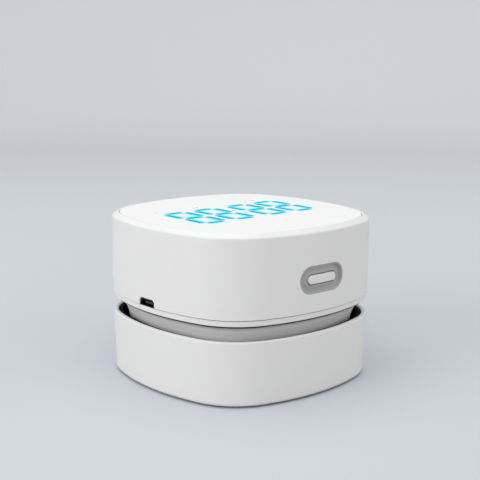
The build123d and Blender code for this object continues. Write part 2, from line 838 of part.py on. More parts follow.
def power_button():
    y_flange = (y_button, y_button + button_flange_thickness)
    cap = stadium(button_length, button_width, -half_width, y_flange[1])
    cap &= slab(button_setback, z_button - button_width, z_button + button_width)
    cap = fillet(cap.faces().sort_by(Axis.Y)[0].outer_wire().edges(), button_round)
    size = (button_length + 2 * button_flange, button_width + 2 * button_flange)
    flange = stadium(*size, *y_flange)
    stem = stadium(button_stem_length, 2 * plunger_radius, y_flange[0], y_plunger)
    return cap + flange + stem


def along_y(radius, y_low, y_high, x=0.0, z=0.0):
    """A round bar lying along Y."""
    return Pos(x, (y_low + y_high) / 2, z) * Rot(90, 0, 0) * Cylinder(radius, y_high - y_low)


def switch_plunger():
    return along_y(plunger_radius, y_plunger, y_plunger + plunger_reach + plunger_root, z=z_button)


def tact_switch():
    half = switch_size / 2
    y = (y_button_board - switch_depth, y_button_board)
    body = block((-half, half), y, (z_button - half, z_button + half))
    well_end = y[0] + plunger_root + button_travel + slide_gap
    return body - along_y(plunger_radius + plunger_gap, y[0], well_end, z=z_button)


def button_board():
    y = (y_button_board, y_button_board + button_board_thickness)
    z = (z_button - button_board_half_height, z_button + button_board_half_height)
    return block((-button_board_half_length, button_board_half_length), y, z)


# ---------------------------------------------------------------- motor
def motor_can():
    wall = tube(motor_radius, motor_radius - motor_can_wall, z_seam, z_can_top)
    front = rod(motor_radius, z_seam, z_seam + motor_can_wall)
    front += rod(motor_boss_radius, z_seam - motor_boss_drop, z_seam)
    hole = rod(motor_screw_radius + thread_gap, z_seam, z_seam + motor_can_wall)
    bore = rod(bush_radius, z_seam - motor_boss_drop, z_seam + motor_can_wall)
    return wall + front - bore - copies(hole, motor_screw_places())


def motor_end_cap():
    cap = tube(motor_radius, bush_radius, z_can_top, z_cap_top)
    cap -= rod(bush_radius + cap_recess_width, z_can_top, z_can_top + cap_recess_depth)
    vent = rod(cap_vent_radius, z_can_top, z_cap_top)
    return cap - copies(vent, [(0, motor_screw_place), (0, -motor_screw_place)])


def motor_terminals():
    """Two brass blades that stand on the end cap."""
    blade = block(*span_pair(terminal_thickness, terminal_width), (z_cap_top, z_cap_top + terminal_height))
    return copies(blade, [(terminal_place, 0), (-terminal_place, 0)])


def motor_screws():
    length = band_height - small_head_depth() + motor_can_wall
    return copies(small_screw(motor_screw_radius, length, z_band + small_head_depth()), motor_screw_places())


def motor_bushes():
    z_front = (z_seam - motor_boss_drop, z_seam + motor_can_wall)
    z_rear = (z_can_top + cap_recess_depth, z_cap_top)
    bushes = [tube(bush_radius, shaft_radius + bearing_gap, *z) for z in (z_front, z_rear)]
    return Compound(children=bushes)


def ring_sector(outer_radius, inner_radius, z_low, z_high, middle, arc):
    """Part of a tube, arc degrees wide about the direction middle."""
    half = radians(arc / 2)
    far = outer_radius * 3
    wedge = make_face(Polyline((0, 0, 0), (far * cos(half), -far * sin(half), 0), (far, 0, 0),
                               (far * cos(half), far * sin(half), 0), close=True))
    cutter = Rot(0, 0, middle) * extrude(Pos(0, 0, z_low) * wedge, z_high - z_low)
    return tube(outer_radius, inner_radius, z_low, z_high) & cutter


def motor_magnets():
    outer = motor_radius - motor_can_wall
    z_low, z_high = armature_levels()
    z = (z_low - magnet_overhang, z_high + magnet_overhang)
    sectors = [ring_sector(outer, outer - magnet_thickness, *z, middle, magnet_arc) for middle in (0, 180)]
    return Compound(children=sectors)


def armature_levels():
    z_low = z_seam + armature_floor
    return z_low, z_low + armature_length


def motor_armature():
    """A three-pole iron core."""
    z = armature_levels()
    core = rod(pole_stem_width, *z)
    for angle in (0, 120, 240):
        core += Rot(0, 0, angle) * block((0, armature_radius - pole_head_thickness / 2),
                                         (-pole_stem_width / 2, pole_stem_width / 2), z)
        core += ring_sector(armature_radius, armature_radius - pole_head_thickness, *z, angle, pole_head_arc)
    return core - rod(shaft_radius + shaft_fit, *z)


def motor_windings():
    """A copper coil around each pole stem."""
    z_low, z_high = armature_levels()
    x = (pole_stem_width + fit_gap, armature_radius - pole_head_thickness)
    z_coil = (z_low - coil_overhang, z_high + coil_overhang)
    coil = block(x, (-coil_half_width, coil_half_width), z_coil)
    coil -= block(x, (-pole_stem_width / 2, pole_stem_width / 2), (z_low, z_high))
    coil &= rod(armature_radius - pole_head_thickness - fit_gap, *z_coil)
    return Compound(children=[Rot(0, 0, angle) * coil for angle in (0, 120, 240)])


def motor_commutator():
    z = (commutator_bottom, commutator_bottom + commutator_height)
    return tube(commutator_radius, shaft_radius + shaft_fit, *z)


def motor_shaft():
    return rod(shaft_radius, z_impeller + shaft_hub_setback, z_cap_top - shaft_cap_setback)


# ---------------------------------------------------------------- fan and filter
def impeller():
    """A back plate with backward-swept blades hanging from it, and a hub on the shaft."""
    z_back = (z_impeller_back, z_impeller_back + impeller_back_thickness)
    disc = rod(impeller_radius, *z_back) + rod(impeller_hub_radius, z_impeller, z_hub_top)
    root, tip = blade_root_radius, impeller_radius - blade_thickness
    bow = radians(blade_sweep)
    middle, half_way = (root + tip) / 2, bow * blade_bow
    path = ThreePointArc((root, 0), (middle * cos(half_way), middle * sin(half_way)),
                         (tip * cos(bow), tip * sin(bow)))
    blade = extrude(Pos(0, 0, z_impeller) * trace(path, blade_thickness), z_impeller_back - z_impeller)
    blades = [Rot(0, 0, 360 * i / blade_count) * blade for i in range(blade_count)]
    return disc + blades - rod(shaft_radius + shaft_fit, z_impeller, z_hub_top)


def fan_shroud():
    z = (z_shroud, z_shroud_top)
    plate = slab(neck_inset + neck_wall + fit_gap * 2, *z) - rod(shroud_eye_radius, *z)
    bar_z = (z_shroud, z_shroud + shroud_thickness / 2)
    half, reach = guard_bar_width / 2, shroud_eye_radius + weld
    guard = block((-reach, reach), (-half, half), bar_z) + block((-half, half), (-reach, reach), bar_z)
    collar_inner = filter_collar_radius - filter_collar_wall
    collar = tube(filter_collar_radius, collar_inner, z_shroud - filter_collar_depth, z_shroud)
    hole = rod(shroud_screw_radius + fit_gap, *z)
    hole += rod(small_head_radius + fit_gap, z_shroud, z_shroud + small_head_depth())
    return plate + guard + collar - copies(hole, circle_places(shroud_post_circle, 4, 45))


def shroud_screws():
    shoulder = z_shroud + small_head_depth()
    length = z_shroud_top + shroud_screw_bite - fit_gap - shoulder
    piece = small_screw(shroud_screw_radius, length, shoulder)
    return copies(piece, circle_places(shroud_post_circle, 4, 45))


def filter_frame():
    z = (z_filter, z_filter_top)
    frame = tube(filter_radius, filter_radius - filter_rim, *z)
    reach, half = filter_radius - filter_rim + weld, filter_bar_width / 2
    bar_z = (z_filter, z_filter + filter_bar_height)
    for angle in (0, 60, 120):
        frame += Rot(0, 0, angle) * block((-reach, reach), (-half, half), bar_z)
    return frame


def filter_media():
    z_low = z_filter + filter_bar_height
    return rod(filter_radius - filter_rim, z_low, z_filter_top)


def filter_gasket():
    middle = filter_radius - filter_rim / 2
    return tube(middle + gasket_width / 2, middle - gasket_width / 2, z_filter_top, z_shroud)


# ---------------------------------------------------------------- main board, leads and cell
def main_board():
    z = (z_board, z_board_top)
    board = block((x_board_outer, x_board_inner), (-board_half_width, board_half_width), z)
    board += block((x_board_nose, x_board_outer + weld), (-board_nose_half_width, board_nose_half_width), z)
    half = socket_width / 2 + fit_gap
    board -= block((x_board_nose - cut_over, x_socket_inner + fit_gap), (-half, half), z)
    return board - copies(rod(board_screw_radius + fit_gap, *z), board_screw_places())


def usb_socket():
    """A steel micro-USB receptacle let into the board, its upper corners cut off."""
    z = (z_seam + fit_gap, z_seam + fit_gap + socket_height)
    half = socket_width / 2
    body = block((x_socket_outer, x_socket_inner), (-half, half), z)
    body = chamfer(body.edges().filter_by(Axis.X).sort_by(Axis.Z)[-2:], socket_corner)
    inner = half - socket_skin
    z_mouth = (z[0] + socket_skin, z[1] - socket_skin)
    mouth = block((x_socket_outer, x_socket_inner - socket_back), (-inner, inner), z_mouth)
    mouth = chamfer(mouth.edges().filter_by(Axis.X).sort_by(Axis.Z)[-2:], mouth_corner)
    return body - mouth


def usb_tongue():
    """The contact tongue inside the receptacle."""
    z_middle = z_seam + fit_gap + socket_height / 2
    reach, half = usb_tongue_width / 2, usb_tongue_thickness / 2
    x = (x_socket_outer + tongue_setback, x_socket_inner - socket_back)
    return block(x, (-reach, reach), (z_middle - half, z_middle + half))


def on_board(x_span, y, width, height):
    """A flat component standing on the main board."""
    return block(x_span, (y - width / 2, y + width / 2), (z_board_top, z_board_top + height))


def board_chips():
    """Charge controller, coil, a row of small resistors and two capacitors on the main board."""
    start = x_ribbon + ribbon_socket_depth / 2 + chip_socket_gap
    chips = [on_board((start, x_board_inner - charge_chip_setback), *charge_chip),
             on_board((start, x_board_inner - charge_coil_setback), *charge_coil)]
    x = x_board_outer + resistor_setback
    length, width, height = resistor_size
    first = -resistor_pitch * (resistor_count - 1) / 2
    chips += [on_board((x - length / 2, x + length / 2), first + resistor_pitch * i, width, height)
              for i in range(resistor_count)]
    can = rod(capacitor_radius, z_board_top, z_board_top + capacitor_height)
    chips += [Pos(x_board_outer + capacitor_setback, side * capacitor_row, 0) * can for side in (1, -1)]
    return Compound(children=chips)


def board_screws():
    """Driven downwards through the board into the posts of the base plate."""
    length = board_thickness + board_screw_bite
    piece = screw(board_screw_head_radius, board_screw_head_height, board_screw_radius, length, -z_board_top)
    return copies(Rot(180, 0, 0) * piece, board_screw_places())


def ribbon_levels():
    """Heights between which the bare ribbon runs, from socket to socket."""
    return z_board_top + ribbon_socket_height, z_display_board - ribbon_socket_height


def ribbon_cable():
    """The flat cable from the main board up to the display board."""
    return Pos(x_ribbon, 0, 0) * block(*span_pair(ribbon_thickness, ribbon_width), ribbon_levels())


def ribbon_sockets():
    spans = span_pair(ribbon_socket_depth, ribbon_width + 2 * ribbon_socket_side)
    z_low, z_high = ribbon_levels()
    ends = [block(*spans, (z_board_top, z_low)), block(*spans, (z_high, z_display_board))]
    return Compound(children=[Pos(x_ribbon, 0, 0) * end for end in ends])


def cell_bar(radius):
    """A round bar in the place of the cell, lying along X."""
    return Pos(0, y_cell, z_cell) * Rot(0, 90, 0) * Cylinder(radius, cell_length)


def battery_cell():
    return cell_bar(cell_radius)


def battery_cradle():
    """Two saddles on a strip, which carry the cell on the base plate."""
    reach = cell_radius + cradle_side
    y = (y_cell - reach, y_cell + reach)
    end = cradle_place + cradle_width / 2
    cradle = block((-end, end), y, (z_seam, z_seam + cell_lift - fit_gap))
    for x in ((-end, cradle_width - end), (end - cradle_width, end)):
        cradle += block(x, y, (z_seam, z_seam + cradle_height))
    return cradle - cell_bar(cell_radius + cell_gap)


def tab_end():
    return y_cell - cell_radius - tab_reach


def battery_tabs():
    z = (z_cell - tab_height / 2, z_cell + tab_height / 2)
    tab = block((0, tab_thickness), (tab_end(), y_cell + tab_lap), z)
    starts = (cell_length / 2, -cell_length / 2 - tab_thickness)
    return Compound(children=[Pos(x, 0, 0) * tab for x in starts])


def battery_leads():
    x = cell_lead_end
    near = lead((-x, tab_end(), z_cell), (-x, cell_pad_row, z_cell), (-x, cell_pad_row, z_board_top))
    far = lead((x, tab_end(), z_cell), (x, cell_lead_lane, z_cell), (cell_pad_column, cell_lead_lane, z_cell),
               (cell_pad_column, cell_pad_row, z_cell), (cell_pad_column, cell_pad_row, z_board_top))
    return Compound(children=[near, far])


def motor_leads():
    y_end, z = terminal_width / 2, z_cap_top + terminal_height / 2
    wires = []
    for x, row in zip((-terminal_place, terminal_place), motor_pad_rows):
        wires.append(lead((x, y_end, z), (x, row, z), (motor_pad_column, row, z),
                          (motor_pad_column, row, z_board_top)))
    return Compound(children=wires)


def button_leads():
    y = y_button_board + button_board_thickness
    z = z_button - button_lead_drop
    wires = []
    for setback in button_pad_setbacks:
        pad = x_board_inner - setback
        x = pad + button_lead_step
        wires.append(lead((x, y, z), (x, button_lead_turn, z), (pad, button_pad_row, z),
                          (pad, button_pad_row, z_board_top)))
    return Compound(children=wires)


# ---------------------------------------------------------------- dust cup
def cup_inner_inset(z):
    """Inset of the cup's inner wall at height z: the cup widens evenly from foot to rim."""
    return cup_foot_inset + cup_wall - (cup_foot_inset - cup_rim_inset) * (z - z_cup) / cup_height


def dust_cup():
    """The white wall of the cup, rounded at its foot and its rim."""
    return ring(section(
        (cup_foot_inset, z_cup, cup_foot_round), (cup_rim_inset, z_rim, cup_rim_round),
        (cup_inner_inset(z_rim), z_rim, cup_rim_round), (cup_inner_inset(z_cup), z_cup, 0),
    ))


def cup_pan():
    """The floor of the cup, bonded in between its walls. It carries the nozzle plate and the foot pads."""
    pan = slab(cup_inner_inset(z_cup) + fit_gap, z_cup, z_cup_floor)
    boss = rod(nozzle_boss_radius, z_nozzle_top, z_nozzle_top + nozzle_boss_height)
    pilot = rod(nozzle_screw_radius + thread_gap, z_nozzle_top, nozzle_screw_top() + fit_gap)
    pocket = rod(foot_pad_radius + fit_gap, z_cup, foot_pad_thickness)
    pan += copies(boss, nozzle_screw_places())
    pan -= rod(nozzle_radius + fit_gap, z_cup, z_nozzle_top)
    pan -= rod(nozzle_opening_radius, z_cup, z_cup_floor)
    return pan - copies(pilot, nozzle_screw_places()) - copies(pocket, corner_places(foot_pad_inset))


def bin_liner():
    """The black wall of the dust chamber. Below the moat it is thicker, which makes a shelf for the seat."""
    z_liner = z_rim - liner_drop
    z_shelf = z_neck - seat_thickness
    return ring(section(
        (cup_inner_inset(z_cup_floor) + fit_gap, z_cup_floor, 0),
        (cup_inner_inset(z_liner) + fit_gap, z_liner, 0),
        (liner_inner_inset, z_liner, 0),
        (liner_inner_inset, z_shelf, 0),
        (liner_inner_inset + liner_shelf, z_shelf, 0),
        (liner_inner_inset + liner_shelf, z_cup_floor, 0),
    ))


def neck_seat():
    """A stepped black ring on the liner's shelf: it floors the moat, and the neck stands on it."""
    edge = liner_inner_inset + fit_gap
    z_moat = z_neck + moat_floor_thickness
    z_shelf = z_neck - seat_thickness
    socket = neck_inset - neck_play
    return ring(section(
        (edge, z_moat, 0), (socket, z_moat, 0), (socket, z_neck, 0),
        (seat_lip, z_neck, 0), (seat_lip, z_shelf, 0), (edge, z_shelf, 0),
    ))


def nozzle_screw_places():
    return circle_places(nozzle_screw_circle, 4, 45)


def nozzle_screw_top():
    return z_cup + small_head_depth() + nozzle_screw_length


def nozzle_plate():
    plate = rod(nozzle_radius, z_cup, z_nozzle_top)
    plate += rod(chimney_radius, z_cup, z_cup + chimney_height)
    plate -= rod(inlet_radius, z_cup, z_cup + chimney_height)
    groove = brush_ring_width / 2 + fit_gap / 2
    plate -= tube(brush_radius + groove, brush_radius - groove, z_cup, z_cup + brush_ring_thickness)
    hole = rod(nozzle_screw_radius + fit_gap, z_cup, z_nozzle_top)
    hole += rod(small_head_radius + fit_gap, z_cup, z_cup + small_head_depth())
    return plate - copies(hole, nozzle_screw_places())


def nozzle_screws():
    piece = small_screw(nozzle_screw_radius, nozzle_screw_length, z_cup + small_head_depth())
    return copies(piece, nozzle_screw_places())


def brush_ring():
    half = brush_ring_width / 2
    body = tube(brush_radius + half, brush_radius - half, z_cup, z_cup + brush_ring_thickness)
    hole = rod(tuft_radius + thread_gap, z_cup, z_cup + brush_ring_thickness)
    return body - copies(hole, circle_places(brush_radius, tuft_count))


def bristle_tufts():
    tuft = rod(tuft_radius, tuft_clear, z_cup + brush_ring_thickness)
    return copies(tuft, circle_places(brush_radius, tuft_count))


def foot_pads():
    return copies(rod(foot_pad_radius, 0, foot_pad_thickness), corner_places(foot_pad_inset))


# ---------------------------------------------------------------- the list of pieces
pieces = {
    "upper_shell": upper_shell(),
    "display_panel": display_panel(),
    "clock_segments": Compound(children=light_guides(segment_faces(), z_deck, z_top)),
    "clock_colon": Compound(children=light_guides(colon_faces(), z_deck, z_top)),
    "status_marks": Compound(children=light_guides(mark_faces(), z_deck, z_top)),
    "light_box": light_box(),
    "display_board": display_board(),
    "display_leds": display_leds(),
    "display_screws": display_screws(),
    "base_plate": base_plate(),
    "head_screws": head_screws(),
    "neck_collar": neck_collar(),
    "neck_seal": neck_seal(),
    "button_bezel": button_bezel(),
    "power_button": power_button(),
    "switch_plunger": switch_plunger(),
    "tact_switch": tact_switch(),
    "button_board": button_board(),
    "button_leads": button_leads(),
    "main_board": main_board(),
    "usb_socket": usb_socket(),
    "usb_tongue": usb_tongue(),
    "board_chips": board_chips(),
    "board_screws": board_screws(),
    "ribbon_cable": ribbon_cable(),
    "ribbon_sockets": ribbon_sockets(),
    "battery_cell": battery_cell(),
    "battery_cradle": battery_cradle(),
    "battery_tabs": battery_tabs(),
    "battery_leads": battery_leads(),
    "motor_can": motor_can(),
    "motor_end_cap": motor_end_cap(),
    "motor_terminals": motor_terminals(),
    "motor_bushes": motor_bushes(),
    "motor_magnets": motor_magnets(),
    "motor_armature": motor_armature(),
    "motor_windings": motor_windings(),
    "motor_commutator": motor_commutator(),
    "motor_shaft": motor_shaft(),
    "motor_screws": motor_screws(),
    "motor_leads": motor_leads(),
    "impeller": impeller(),
    "fan_shroud": fan_shroud(),
    "shroud_screws": shroud_screws(),
    "filter_frame": filter_frame(),
    "filter_media": filter_media(),
    "filter_gasket": filter_gasket(),
    "dust_cup": dust_cup(),
    "cup_pan": cup_pan(),
    "bin_liner": bin_liner(),
    "neck_seat": neck_seat(),
    "nozzle_plate": nozzle_plate(),
    "nozzle_screws": nozzle_screws(),
    "brush_ring": brush_ring(),
    "bristle_tufts": bristle_tufts(),
    "foot_pads": foot_pads(),
}

os.makedirs("parts", exist_ok=True)
for name, piece in pieces.items():
    export_step(piece, f"parts/{name}.step")
print(len(pieces), "pieces written")
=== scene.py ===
# %% [markdown]
# # A desktop mini vacuum cleaner
# The object is a small square vacuum cleaner for a desk, with soft corners and a clock on top.
# A white head (clock, motor, fan and filter) stands in a white dust cup, and a dark moat runs
# between them. Its solids come ready made from CAD with their places and joints. This script
# dresses them: it puts smooth surfaces over the parts that show, and gives every part a finish.

# %% The ready-made solids
import json
from math import atan2, cos, pi, radians, sin, sqrt, tan

import bmesh
import bpy
import numpy as np
from mathutils import Euler, Matrix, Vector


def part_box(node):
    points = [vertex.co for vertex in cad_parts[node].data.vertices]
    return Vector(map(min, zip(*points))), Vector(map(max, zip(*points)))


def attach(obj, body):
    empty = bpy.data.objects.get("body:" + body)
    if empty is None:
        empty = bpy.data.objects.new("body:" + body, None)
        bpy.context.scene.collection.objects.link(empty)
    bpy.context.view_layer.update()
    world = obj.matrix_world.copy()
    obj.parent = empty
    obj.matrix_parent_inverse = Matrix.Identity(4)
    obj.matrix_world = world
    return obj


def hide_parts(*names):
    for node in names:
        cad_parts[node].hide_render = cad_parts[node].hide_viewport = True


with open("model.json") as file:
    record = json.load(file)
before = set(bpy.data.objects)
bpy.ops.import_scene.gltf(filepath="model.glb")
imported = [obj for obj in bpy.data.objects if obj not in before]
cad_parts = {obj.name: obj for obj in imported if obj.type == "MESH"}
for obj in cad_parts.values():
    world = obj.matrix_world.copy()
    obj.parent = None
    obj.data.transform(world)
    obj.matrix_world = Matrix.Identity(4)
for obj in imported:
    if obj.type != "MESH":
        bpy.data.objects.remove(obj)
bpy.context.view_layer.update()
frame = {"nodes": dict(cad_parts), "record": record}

nodes = frame["nodes"]

# %% [markdown]
# ## Units and levels
# Blender works in metres here, but a hand-sized object is easier to describe in millimetres, so
# every length below is in millimetres and is scaled once, when a mesh is made. The heights are the
# same as those of the solids. They are read from the solids' boxes, so that both always agree.

# %% Levels of the object, from the desk up
MM, PER_METRE = 0.001, 1000.0      # a millimetre in metres, and how many of them make a metre


def span(node, axis=2):
    """Lowest and highest value of a solid along an axis, in millimetres."""
    low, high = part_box(node)
    return low[axis] / MM, high[axis] / MM


z_seam, z_top = span("upper_shell")
z_deck = span("display_panel")[0]
z_band = span("neck_collar")[1]         # the grey collar ends under the band
z_cup, z_rim = span("dust_cup")
bevel_drop = 1.3
z_edge = z_top - bevel_drop             # where the bevel starts
band_gap = 0.7                          # height of the shadow gap between band and collar
print("seam", round(z_seam, 2), "top", round(z_top, 2), "rim of the cup", round(z_rim, 2))

# %% [markdown]
# ## The camera
# A product shot of a small object is taken with a long lens from a little above, towards a corner,
# so that two sides and the top show. The place is given as an angle round the object, a height
# angle and a distance, because each of them can be tuned without disturbing the others.

# %% Camera at a corner, a little above the object
azimuth, elevation, distance = radians(-41.56), radians(13.51), 373.9
level_view = radians(10.88)          # how far the camera looks down
roll = radians(0.42)                 # how far it leans to one side
aim = (0.0, 0.0, 30.72)
lens = bpy.data.cameras.new("camera")
lens.lens, lens.sensor_width = 75.86, 36.0
lens.clip_start, lens.clip_end = 0.01, 20.0
camera = bpy.data.objects.new("camera", lens)
camera.location = (MM * distance * sin(azimuth) * cos(elevation),
                   -MM * distance * cos(azimuth) * cos(elevation),
                   MM * (aim[2] + distance * sin(elevation)))
camera.rotation_euler = (Euler((pi / 2 - level_view, 0.0, azimuth)).to_matrix() @
                         Matrix.Rotation(roll, 3, "Z")).to_euler()
bpy.context.scene.collection.objects.link(camera)
bpy.context.scene.camera = camera
print("camera at", [round(c, 4) for c in camera.location])

# %% [markdown]
# ## The outline seen from above
# The body is a square whose four sides bulge a little and whose corners are large arcs. On the
# real object the surface has no visible joint where a side meets a corner, and so both arcs share
# their tangent there. It could be drawn as a Bezier curve, but arcs have an exact formula: every
# point is a centre plus a radius times a direction. Drawing the outline further in then only
# makes each radius shorter, and this gives walls of even thickness.

# %% Columns: where the outline's points are, and which way they face
half_width, side_radius, corner_radius = 42.5, 78.0, 24.0
shift = side_radius - half_width
reach = side_radius - corner_radius
corner_centre = (sqrt(2 * reach**2 - shift**2) - shift) / 2
side_half_angle = atan2(corner_centre, corner_centre + shift)
port_half, port_corner, port_height = 4.15, 0.9, 2.7
patch_half, patch_rise = 13.0, 6.4      # the part of the front wall that holds the button
pill_run = 10.9                         # straight length of the oval opening for the button
arc_points = 29                         # along each arc of the outline


def pill_turns(count=9):
    """Position along the straight run (-1 to 1) and turning angle (0 to 2 pi) round a pill shape.

    The angle of the patch's corner is one of the values, so that a pill can be joined to a
    rectangle around it without a gap."""
    corner = atan2(patch_half - pill_run / 2, patch_rise)
    quarter = np.r_[np.linspace(0, corner, count)[:-1], np.linspace(corner, pi / 2, count)]
    half_turn = np.r_[quarter[:-1], pi - quarter[::-1]]
    straight = np.linspace(-1, 1, 2 * count)[1:-1]
    run = np.r_[straight, np.ones(half_turn.size), -straight, -np.ones(half_turn.size)]
    turn = np.r_[0 * straight, half_turn, 0 * straight + pi, half_turn + pi]
    return run, turn


def patch_lines():
    """X of the upright lines and Z (about the button) of the level lines that meet the patch."""
    run, turn = pill_turns()
    x, z = on_patch_edge(run, turn)
    upright = np.unique(np.round(x[np.abs(np.abs(z) - patch_rise) < 1e-6], 6))
    level = np.unique(np.round(z[np.abs(np.abs(x) - patch_half) < 1e-6], 6))
    return upright, level


def on_patch_edge(run, turn):
    """Where a ray from the pill's spine, in the direction (sin, -cos) of its turn, meets the patch."""
    away, down = np.sin(turn), -np.cos(turn)
    start = run * pill_run / 2
    with np.errstate(divide="ignore"):
        to_side = (patch_half - np.abs(start)) / np.abs(away)
        to_level = patch_rise / np.abs(down)
    far = np.minimum(to_side, to_level)
    return start + far * away, far * down


def columns():
    """Centre, radius and direction of every point of the outline, once round it. Evenly spaced
    points too close to the exact ones of the patch or the notch are left out."""
    plain = np.linspace(-side_half_angle, side_half_angle, arc_points)
    upright = np.arcsin(patch_lines()[0] / side_radius)
    wide = plain[np.abs(plain) > upright.max() + 0.01]
    edges = np.arcsin(np.array([port_half, port_half, port_half - port_corner]) / side_radius)
    port = np.r_[plain[np.abs(plain) > edges[0] + 0.005], 0.0, edges, -edges]
    sides = [plain, plain, np.sort(port), np.sort(np.r_[wide, upright])]
    bend = np.linspace(side_half_angle, pi / 2 - side_half_angle, arc_points)[1:-1]
    centres, radii, angles = [], [], []
    for quarter, side in enumerate(sides):
        turn = quarter * pi / 2
        for angle, radius, (x, y) in ((side, side_radius, (-shift, 0)),
                                      (bend, corner_radius, (corner_centre, corner_centre))):
            centre = (x * cos(turn) - y * sin(turn), x * sin(turn) + y * cos(turn))
            centres.append(np.tile(centre, (angle.size, 1)))
            radii.append(np.full(angle.size, radius))
            angles.append(angle + turn)
    angles = np.concatenate(angles)
    direction = np.stack([np.cos(angles), np.sin(angles)], 1)
    return np.concatenate(centres), np.concatenate(radii), direction


centre, radius, facing = columns()
print(len(radius), "columns round the outline")

# %% [markdown]
# ## From a profile to a surface
# Most of the casing is one profile carried once round the outline. A Screw or an Array modifier
# along a curve could do that, but here it is one line of numpy: column times profile. The profile
# is a list of corners with a rounding each. Real mouldings have no sharp edge, and a rounding of
# a quarter of a millimetre is what draws the fine bright line along an edge. Next to each
# rounding there is one more point on the flat side, which keeps the shading of the flat side flat.

# %% Rounded profiles, grids of faces and finished meshes
def rounded(corners, steps=6):
    """Closed profile from corners of (inset, height, rounding).

    Both edges at a corner are cut back by rounding * tan(turn / 2), and the arc between the cuts
    is (sin((1 - t) turn) * start + sin(t turn) * end) / sin(turn) about its centre."""
    corners = np.asarray(corners, float)
    point, size = corners[:, :2], corners[:, 2]
    back, ahead = np.roll(point, 1, 0) - point, np.roll(point, -1, 0) - point
    back_length, ahead_length = np.linalg.norm(back, axis=1), np.linalg.norm(ahead, axis=1)
    back, ahead = back / back_length[:, None], ahead / ahead_length[:, None]
    turn = pi - np.arccos(np.clip((back * ahead).sum(1), -1, 1))
    cut = size * np.tan(turn / 2)
    middle = back + ahead
    middle /= np.maximum(np.linalg.norm(middle, axis=1), 1e-9)[:, None]
    hub = point + middle * (size / np.cos(turn / 2))[:, None]
    start, end = point + back * cut[:, None] - hub, point + ahead * cut[:, None] - hub
    t = np.linspace(0, 1, steps + 1)[None, :, None]
    wide = turn[:, None, None]
    arc = (np.sin((1 - t) * wide) * start[:, None] + np.sin(t * wide) * end[:, None])
    arc = arc / np.maximum(np.sin(wide), 1e-9)
    hold = 0.4 * size
    before = point + back * np.minimum(cut + hold, back_length / 2)[:, None]
    after = point + ahead * np.minimum(cut + hold, ahead_length / 2)[:, None]
    rows = np.concatenate([before[:, None], arc + hub[:, None], after[:, None]], 1).reshape(-1, 2)
    rows[np.repeat(size == 0, steps + 3)] = np.repeat(point[size == 0], steps + 3, 0)
    fresh = np.linalg.norm(rows - np.roll(rows, 1, 0), axis=1) > 1e-6
    return rows[fresh]


def quads(rows, cols, close_rows=False, close_cols=True):
    """Faces of a grid whose point (i, j) has the number i * cols + j."""
    i = np.arange(rows if close_rows else rows - 1)[:, None]
    j = np.arange(cols if close_cols else cols - 1)[None, :]
    i_next, j_next = (i + 1) % rows, (j + 1) % cols
    corner = (i * cols + j, i * cols + j_next, i_next * cols + j_next, i_next * cols + j)
    return np.stack(corner, -1).reshape(-1, 4)


def carried(profile):
    """Points of a profile of (inset, height) carried round the outline: centre + (radius - inset)
    * direction, for every row of the profile and every column of the outline."""
    inset, height = profile[:, :1, None], profile[:, 1:, None]
    flat = centre[None] + (radius[None, :, None] - inset) * facing[None]
    return np.concatenate([flat, np.broadcast_to(height, flat.shape[:2] + (1,))], 2)


def joined(*parts):
    """Several (points, faces) pairs as one pair."""
    points = [np.asarray(part[0], float).reshape(-1, 3) for part in parts]
    starts = np.cumsum([0] + [len(p) for p in points[:-1]])
    return np.concatenate(points), np.concatenate([part[1] + s for part, s in zip(parts, starts)])


def make_piece(name, shape, body, slot, replaces=(), sharp=35):
    """A mesh object from (points in millimetres, quads). Doubled points are merged, which closes
    seams and poles, and the faces of each closed shell are turned outwards."""
    points, faces = shape
    mesh = bpy.data.meshes.new(name)
    mesh.from_pydata((np.asarray(points).reshape(-1, 3) * MM).tolist(), [], faces.tolist())
    shell = bmesh.new()
    shell.from_mesh(mesh)
    bmesh.ops.remove_doubles(shell, verts=shell.verts, dist=2e-6)
    bmesh.ops.dissolve_degenerate(shell, edges=shell.edges, dist=1e-6)
    bmesh.ops.recalc_face_normals(shell, faces=shell.faces)
    open_edges = sum(edge.is_boundary for edge in shell.edges)
    shell.to_mesh(mesh)
    shell.free()
    mesh.shade_smooth()
    mesh.set_sharp_from_angle(angle=radians(sharp))
    piece = bpy.data.objects.new(name, mesh)
    bpy.context.scene.collection.objects.link(piece)
    mesh.materials.append(finishes[slot])
    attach(piece, body)
    if replaces:
        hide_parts(*replaces)
    print(f"{name}: {len(mesh.polygons)} faces, {open_edges} open edges")


# %% [markdown]
# ## Writing a material as arithmetic
# A material in Blender is a graph of nodes. Joining dozens of them by hand hides what they say,
# so one small class wraps a socket and lets Python's own operators add the Math nodes. With it
# `1 - mask * 0.2` is written the way one thinks it. Everything else, such as textures, ramps and
# colour mixes, comes from the one method `node`, which sets the node's options before its sockets.

